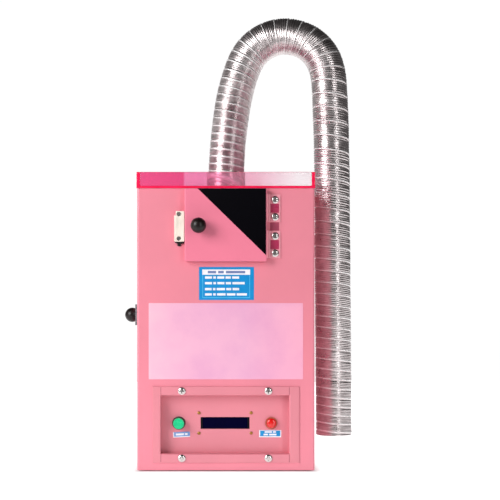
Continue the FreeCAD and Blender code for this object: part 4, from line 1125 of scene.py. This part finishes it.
def switch_body():
    """The moulded switch body: rounded, with its upper left corner stepped in and two screw wells."""
    low, high = box_of("reed_switch")
    piece = plate("door_switch_body", low, high, corner=0.0012)
    notch_low = (low.x - CLEAR, low.y - CLEAR, high.z - NOTCH_HEIGHT)
    notch_high = (low.x + NOTCH_WIDTH, high.y + CLEAR, high.z + CLEAR)
    bore_out(piece, plate("notch", notch_low, notch_high))
    for screw_low, screw_high in solids_of("reed_switch_screws"):
        radius = (screw_high.x - screw_low.x) / 2 + WELL_GAP
        middle = (screw_low + screw_high) / 2
        foot = (middle.x, high.y + CLEAR, middle.z)
        bore_out(piece, turned("well", foot, (0, -1, 0), [(0, radius), (WELL_LENGTH, radius)], 32))
    bevel_all(piece, 0.0005, 3, 30)
    smooth(piece, 40)
    return fit(piece, "cabinet", cream_moulding, "white_plastic", "reed_switch")


def switch_lead_and_painted_shadow():
    """The flat lead of five cores that leaves the switch's lower end and turns in behind it, spread wide
    with uneven ends so that it also stands for the switch's shadow: partly lead, partly painted shadow.
    """
    low, high = box_of("reed_switch_lead")
    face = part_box("cabinet_shell")[0][1]
    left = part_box("reed_switch")[0][0] + 0.0011
    pieces = []
    # The cores spread wider than the lead's own box: part of this black strip is painted shadow under the
    # switch.
    for number, drop in enumerate(CORE_DROPS):
        start = (left + number * CORE_PITCH, face - CORE_REACH, high.z - drop)
        end = (left + (number + 0.96) * CORE_PITCH, face - CORE_GAP, high.z)
        pieces.append(plate(f"ribbon_core_{number}", start, end, edge=0.0005))
    boot_low = (low.x - 0.0004, face - BOOT_REACH, low.z - 0.0006)
    boot_high = (high.x + 0.0004, high.y, high.z)
    pieces.append(plate("ribbon_boot", boot_low, boot_high, corner=0.0010, edge=0.0003))
    ribbon = join("door_switch_lead_and_painted_shadow", pieces)
    return fit(ribbon, "cabinet", black_moulding, "black_plastic", "reed_switch_lead")


switch_body()
switch_lead_and_painted_shadow()

# ---------------------------------------------------------------- stage

FLOOR_WIDTH = 3.0
FLOOR_DEPTH = 2.6
FLOOR_MIDDLE = 0.68
FLOOR_GREY = (0.55, 0.55, 0.55, 1)
FLOOR_GLOW = 0.86
PAINTED_SHADOW_START = -0.006
PAINTED_SHADOW_END = 0.012
WHITE = (1, 1, 1, 1)
BLACK = (0, 0, 0, 1)
BACKDROP = (1.02, 1.02, 1.02, 1)


def studio_floor():
    """A pale floor that gives off light of its own, but not under the cabinet, where the emission fades out
    as a painted contact shadow.
    """
    bpy.ops.mesh.primitive_plane_add(size=1)
    floor = name_piece("studio_floor")
    floor.scale = (FLOOR_WIDTH, FLOOR_DEPTH, 1)
    floor.location = (0, FLOOR_MIDDLE, 0)
    settle(floor)
    material, tree, shader = new_material("studio_floor")
    shader.inputs["Base Color"].default_value = FLOOR_GREY
    shader.inputs["Roughness"].default_value = 0.7
    shader.inputs["Emission Color"].default_value = WHITE
    # Painted shadow: no emission from just inside the base plate's outline, full emission a little outside
    # it.
    coords = tree.nodes.new("ShaderNodeTexCoord")
    mirrored = add(tree, "ShaderNodeVectorMath", operation="ABSOLUTE")
    tree.links.new(coords.outputs["Object"], mirrored.inputs[0])
    beyond = add(tree, "ShaderNodeVectorMath", operation="SUBTRACT")
    tree.links.new(mirrored.outputs["Vector"], beyond.inputs[0])
    beyond.inputs[1].default_value = (*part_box("base_plate")[1][:2], 0)
    sides = tree.nodes.new("ShaderNodeSeparateXYZ")
    tree.links.new(beyond.outputs["Vector"], sides.inputs["Vector"])
    outside = add(tree, "ShaderNodeMath", operation="MAXIMUM")
    tree.links.new(sides.outputs["X"], outside.inputs[0])
    tree.links.new(sides.outputs["Y"], outside.inputs[1])
    glowing = spread(tree, outside.outputs["Value"], 0.0, FLOOR_GLOW, PAINTED_SHADOW_START, PAINTED_SHADOW_END)
    tree.links.new(glowing, shader.inputs["Emission Strength"])
    floor.data.materials.append(material)


def studio_world():
    """A white backdrop, and for reflections a room: paler at the left, black overhead, white far behind."""
    world = bpy.data.worlds.new("studio")
    bpy.context.scene.world = world
    world.use_nodes = True
    tree = world.node_tree
    direction = tree.nodes.new("ShaderNodeTexCoord")
    parts = tree.nodes.new("ShaderNodeSeparateXYZ")
    tree.links.new(direction.outputs["Generated"], parts.inputs["Vector"])
    across = spread(tree, parts.outputs["X"], 0.0, 1.0, from_low=-1.0, from_high=1.0)
    walls = ramp(
        tree, across,
        [
            (0.0, (0.46, 0.45, 0.45, 1)), (0.35, (0.3, 0.3, 0.3, 1)), (0.6, (0.13, 0.13, 0.13, 1)),
            (1.0, (0.1, 0.1, 0.1, 1)),
        ],
    )
    overhead = spread(tree, parts.outputs["Z"], 0.0, 0.85, from_low=0.3, from_high=0.75)
    room = blend(tree, overhead, walls, BLACK)
    behind = spread(tree, parts.outputs["Y"], 0.0, 1.0, from_low=0.88, from_high=0.96)
    below = spread(tree, parts.outputs["Z"], 1.0, 0.0, from_low=0.42, from_high=0.60)
    lit = add(tree, "ShaderNodeMath", operation="MULTIPLY")
    tree.links.new(behind, lit.inputs[0])
    tree.links.new(below, lit.inputs[1])
    surround = tree.nodes["Background"]
    tree.links.new(blend(tree, lit.outputs["Value"], room, WHITE), surround.inputs["Color"])
    backdrop = add(tree, "ShaderNodeBackground", Color=BACKDROP)
    ray = tree.nodes.new("ShaderNodeLightPath")
    choose = tree.nodes.new("ShaderNodeMixShader")
    tree.links.new(ray.outputs["Is Camera Ray"], choose.inputs["Fac"])
    tree.links.new(surround.outputs["Background"], choose.inputs[1])
    tree.links.new(backdrop.outputs["Background"], choose.inputs[2])
    tree.links.new(choose.outputs["Shader"], tree.nodes["World Output"].inputs["Surface"])


def soft_light(name, place, aim, width, height, watts):
    """A rectangular lamp at place that shines at aim."""
    data = bpy.data.lights.new(name, "AREA")
    data.shape = "RECTANGLE"
    data.size = width
    data.size_y = height
    data.energy = watts
    lamp = bpy.data.objects.new(name, data)
    bpy.context.scene.collection.objects.link(lamp)
    lamp.location = place
    lamp.rotation_euler = (Vector(aim) - Vector(place)).to_track_quat("-Z", "Y").to_euler()
    return lamp


studio_floor()
studio_world()
soft_light("key_light", (-1.20, -1.06, 0.84), (0, 0, 0.32), width=0.86, height=1.0, watts=25)
for side_light in (
    soft_light("back_light", (0.2, 2.0, 1.4), (0, 0, 0.25), width=1.6, height=1.0, watts=42),
    soft_light("right_light", (2.1, 0.5, 1.1), (0, 0, 0.25), width=1.2, height=1.0, watts=16),
):
    side_light.visible_glossy = False
    side_light.visible_transmission = False
soft_light("fill_light", (1.15, -1.76, 0.6), (0.1, 0, 0.3), width=0.35, height=1.6, watts=10)

bpy.context.scene.view_settings.view_transform = "Standard"
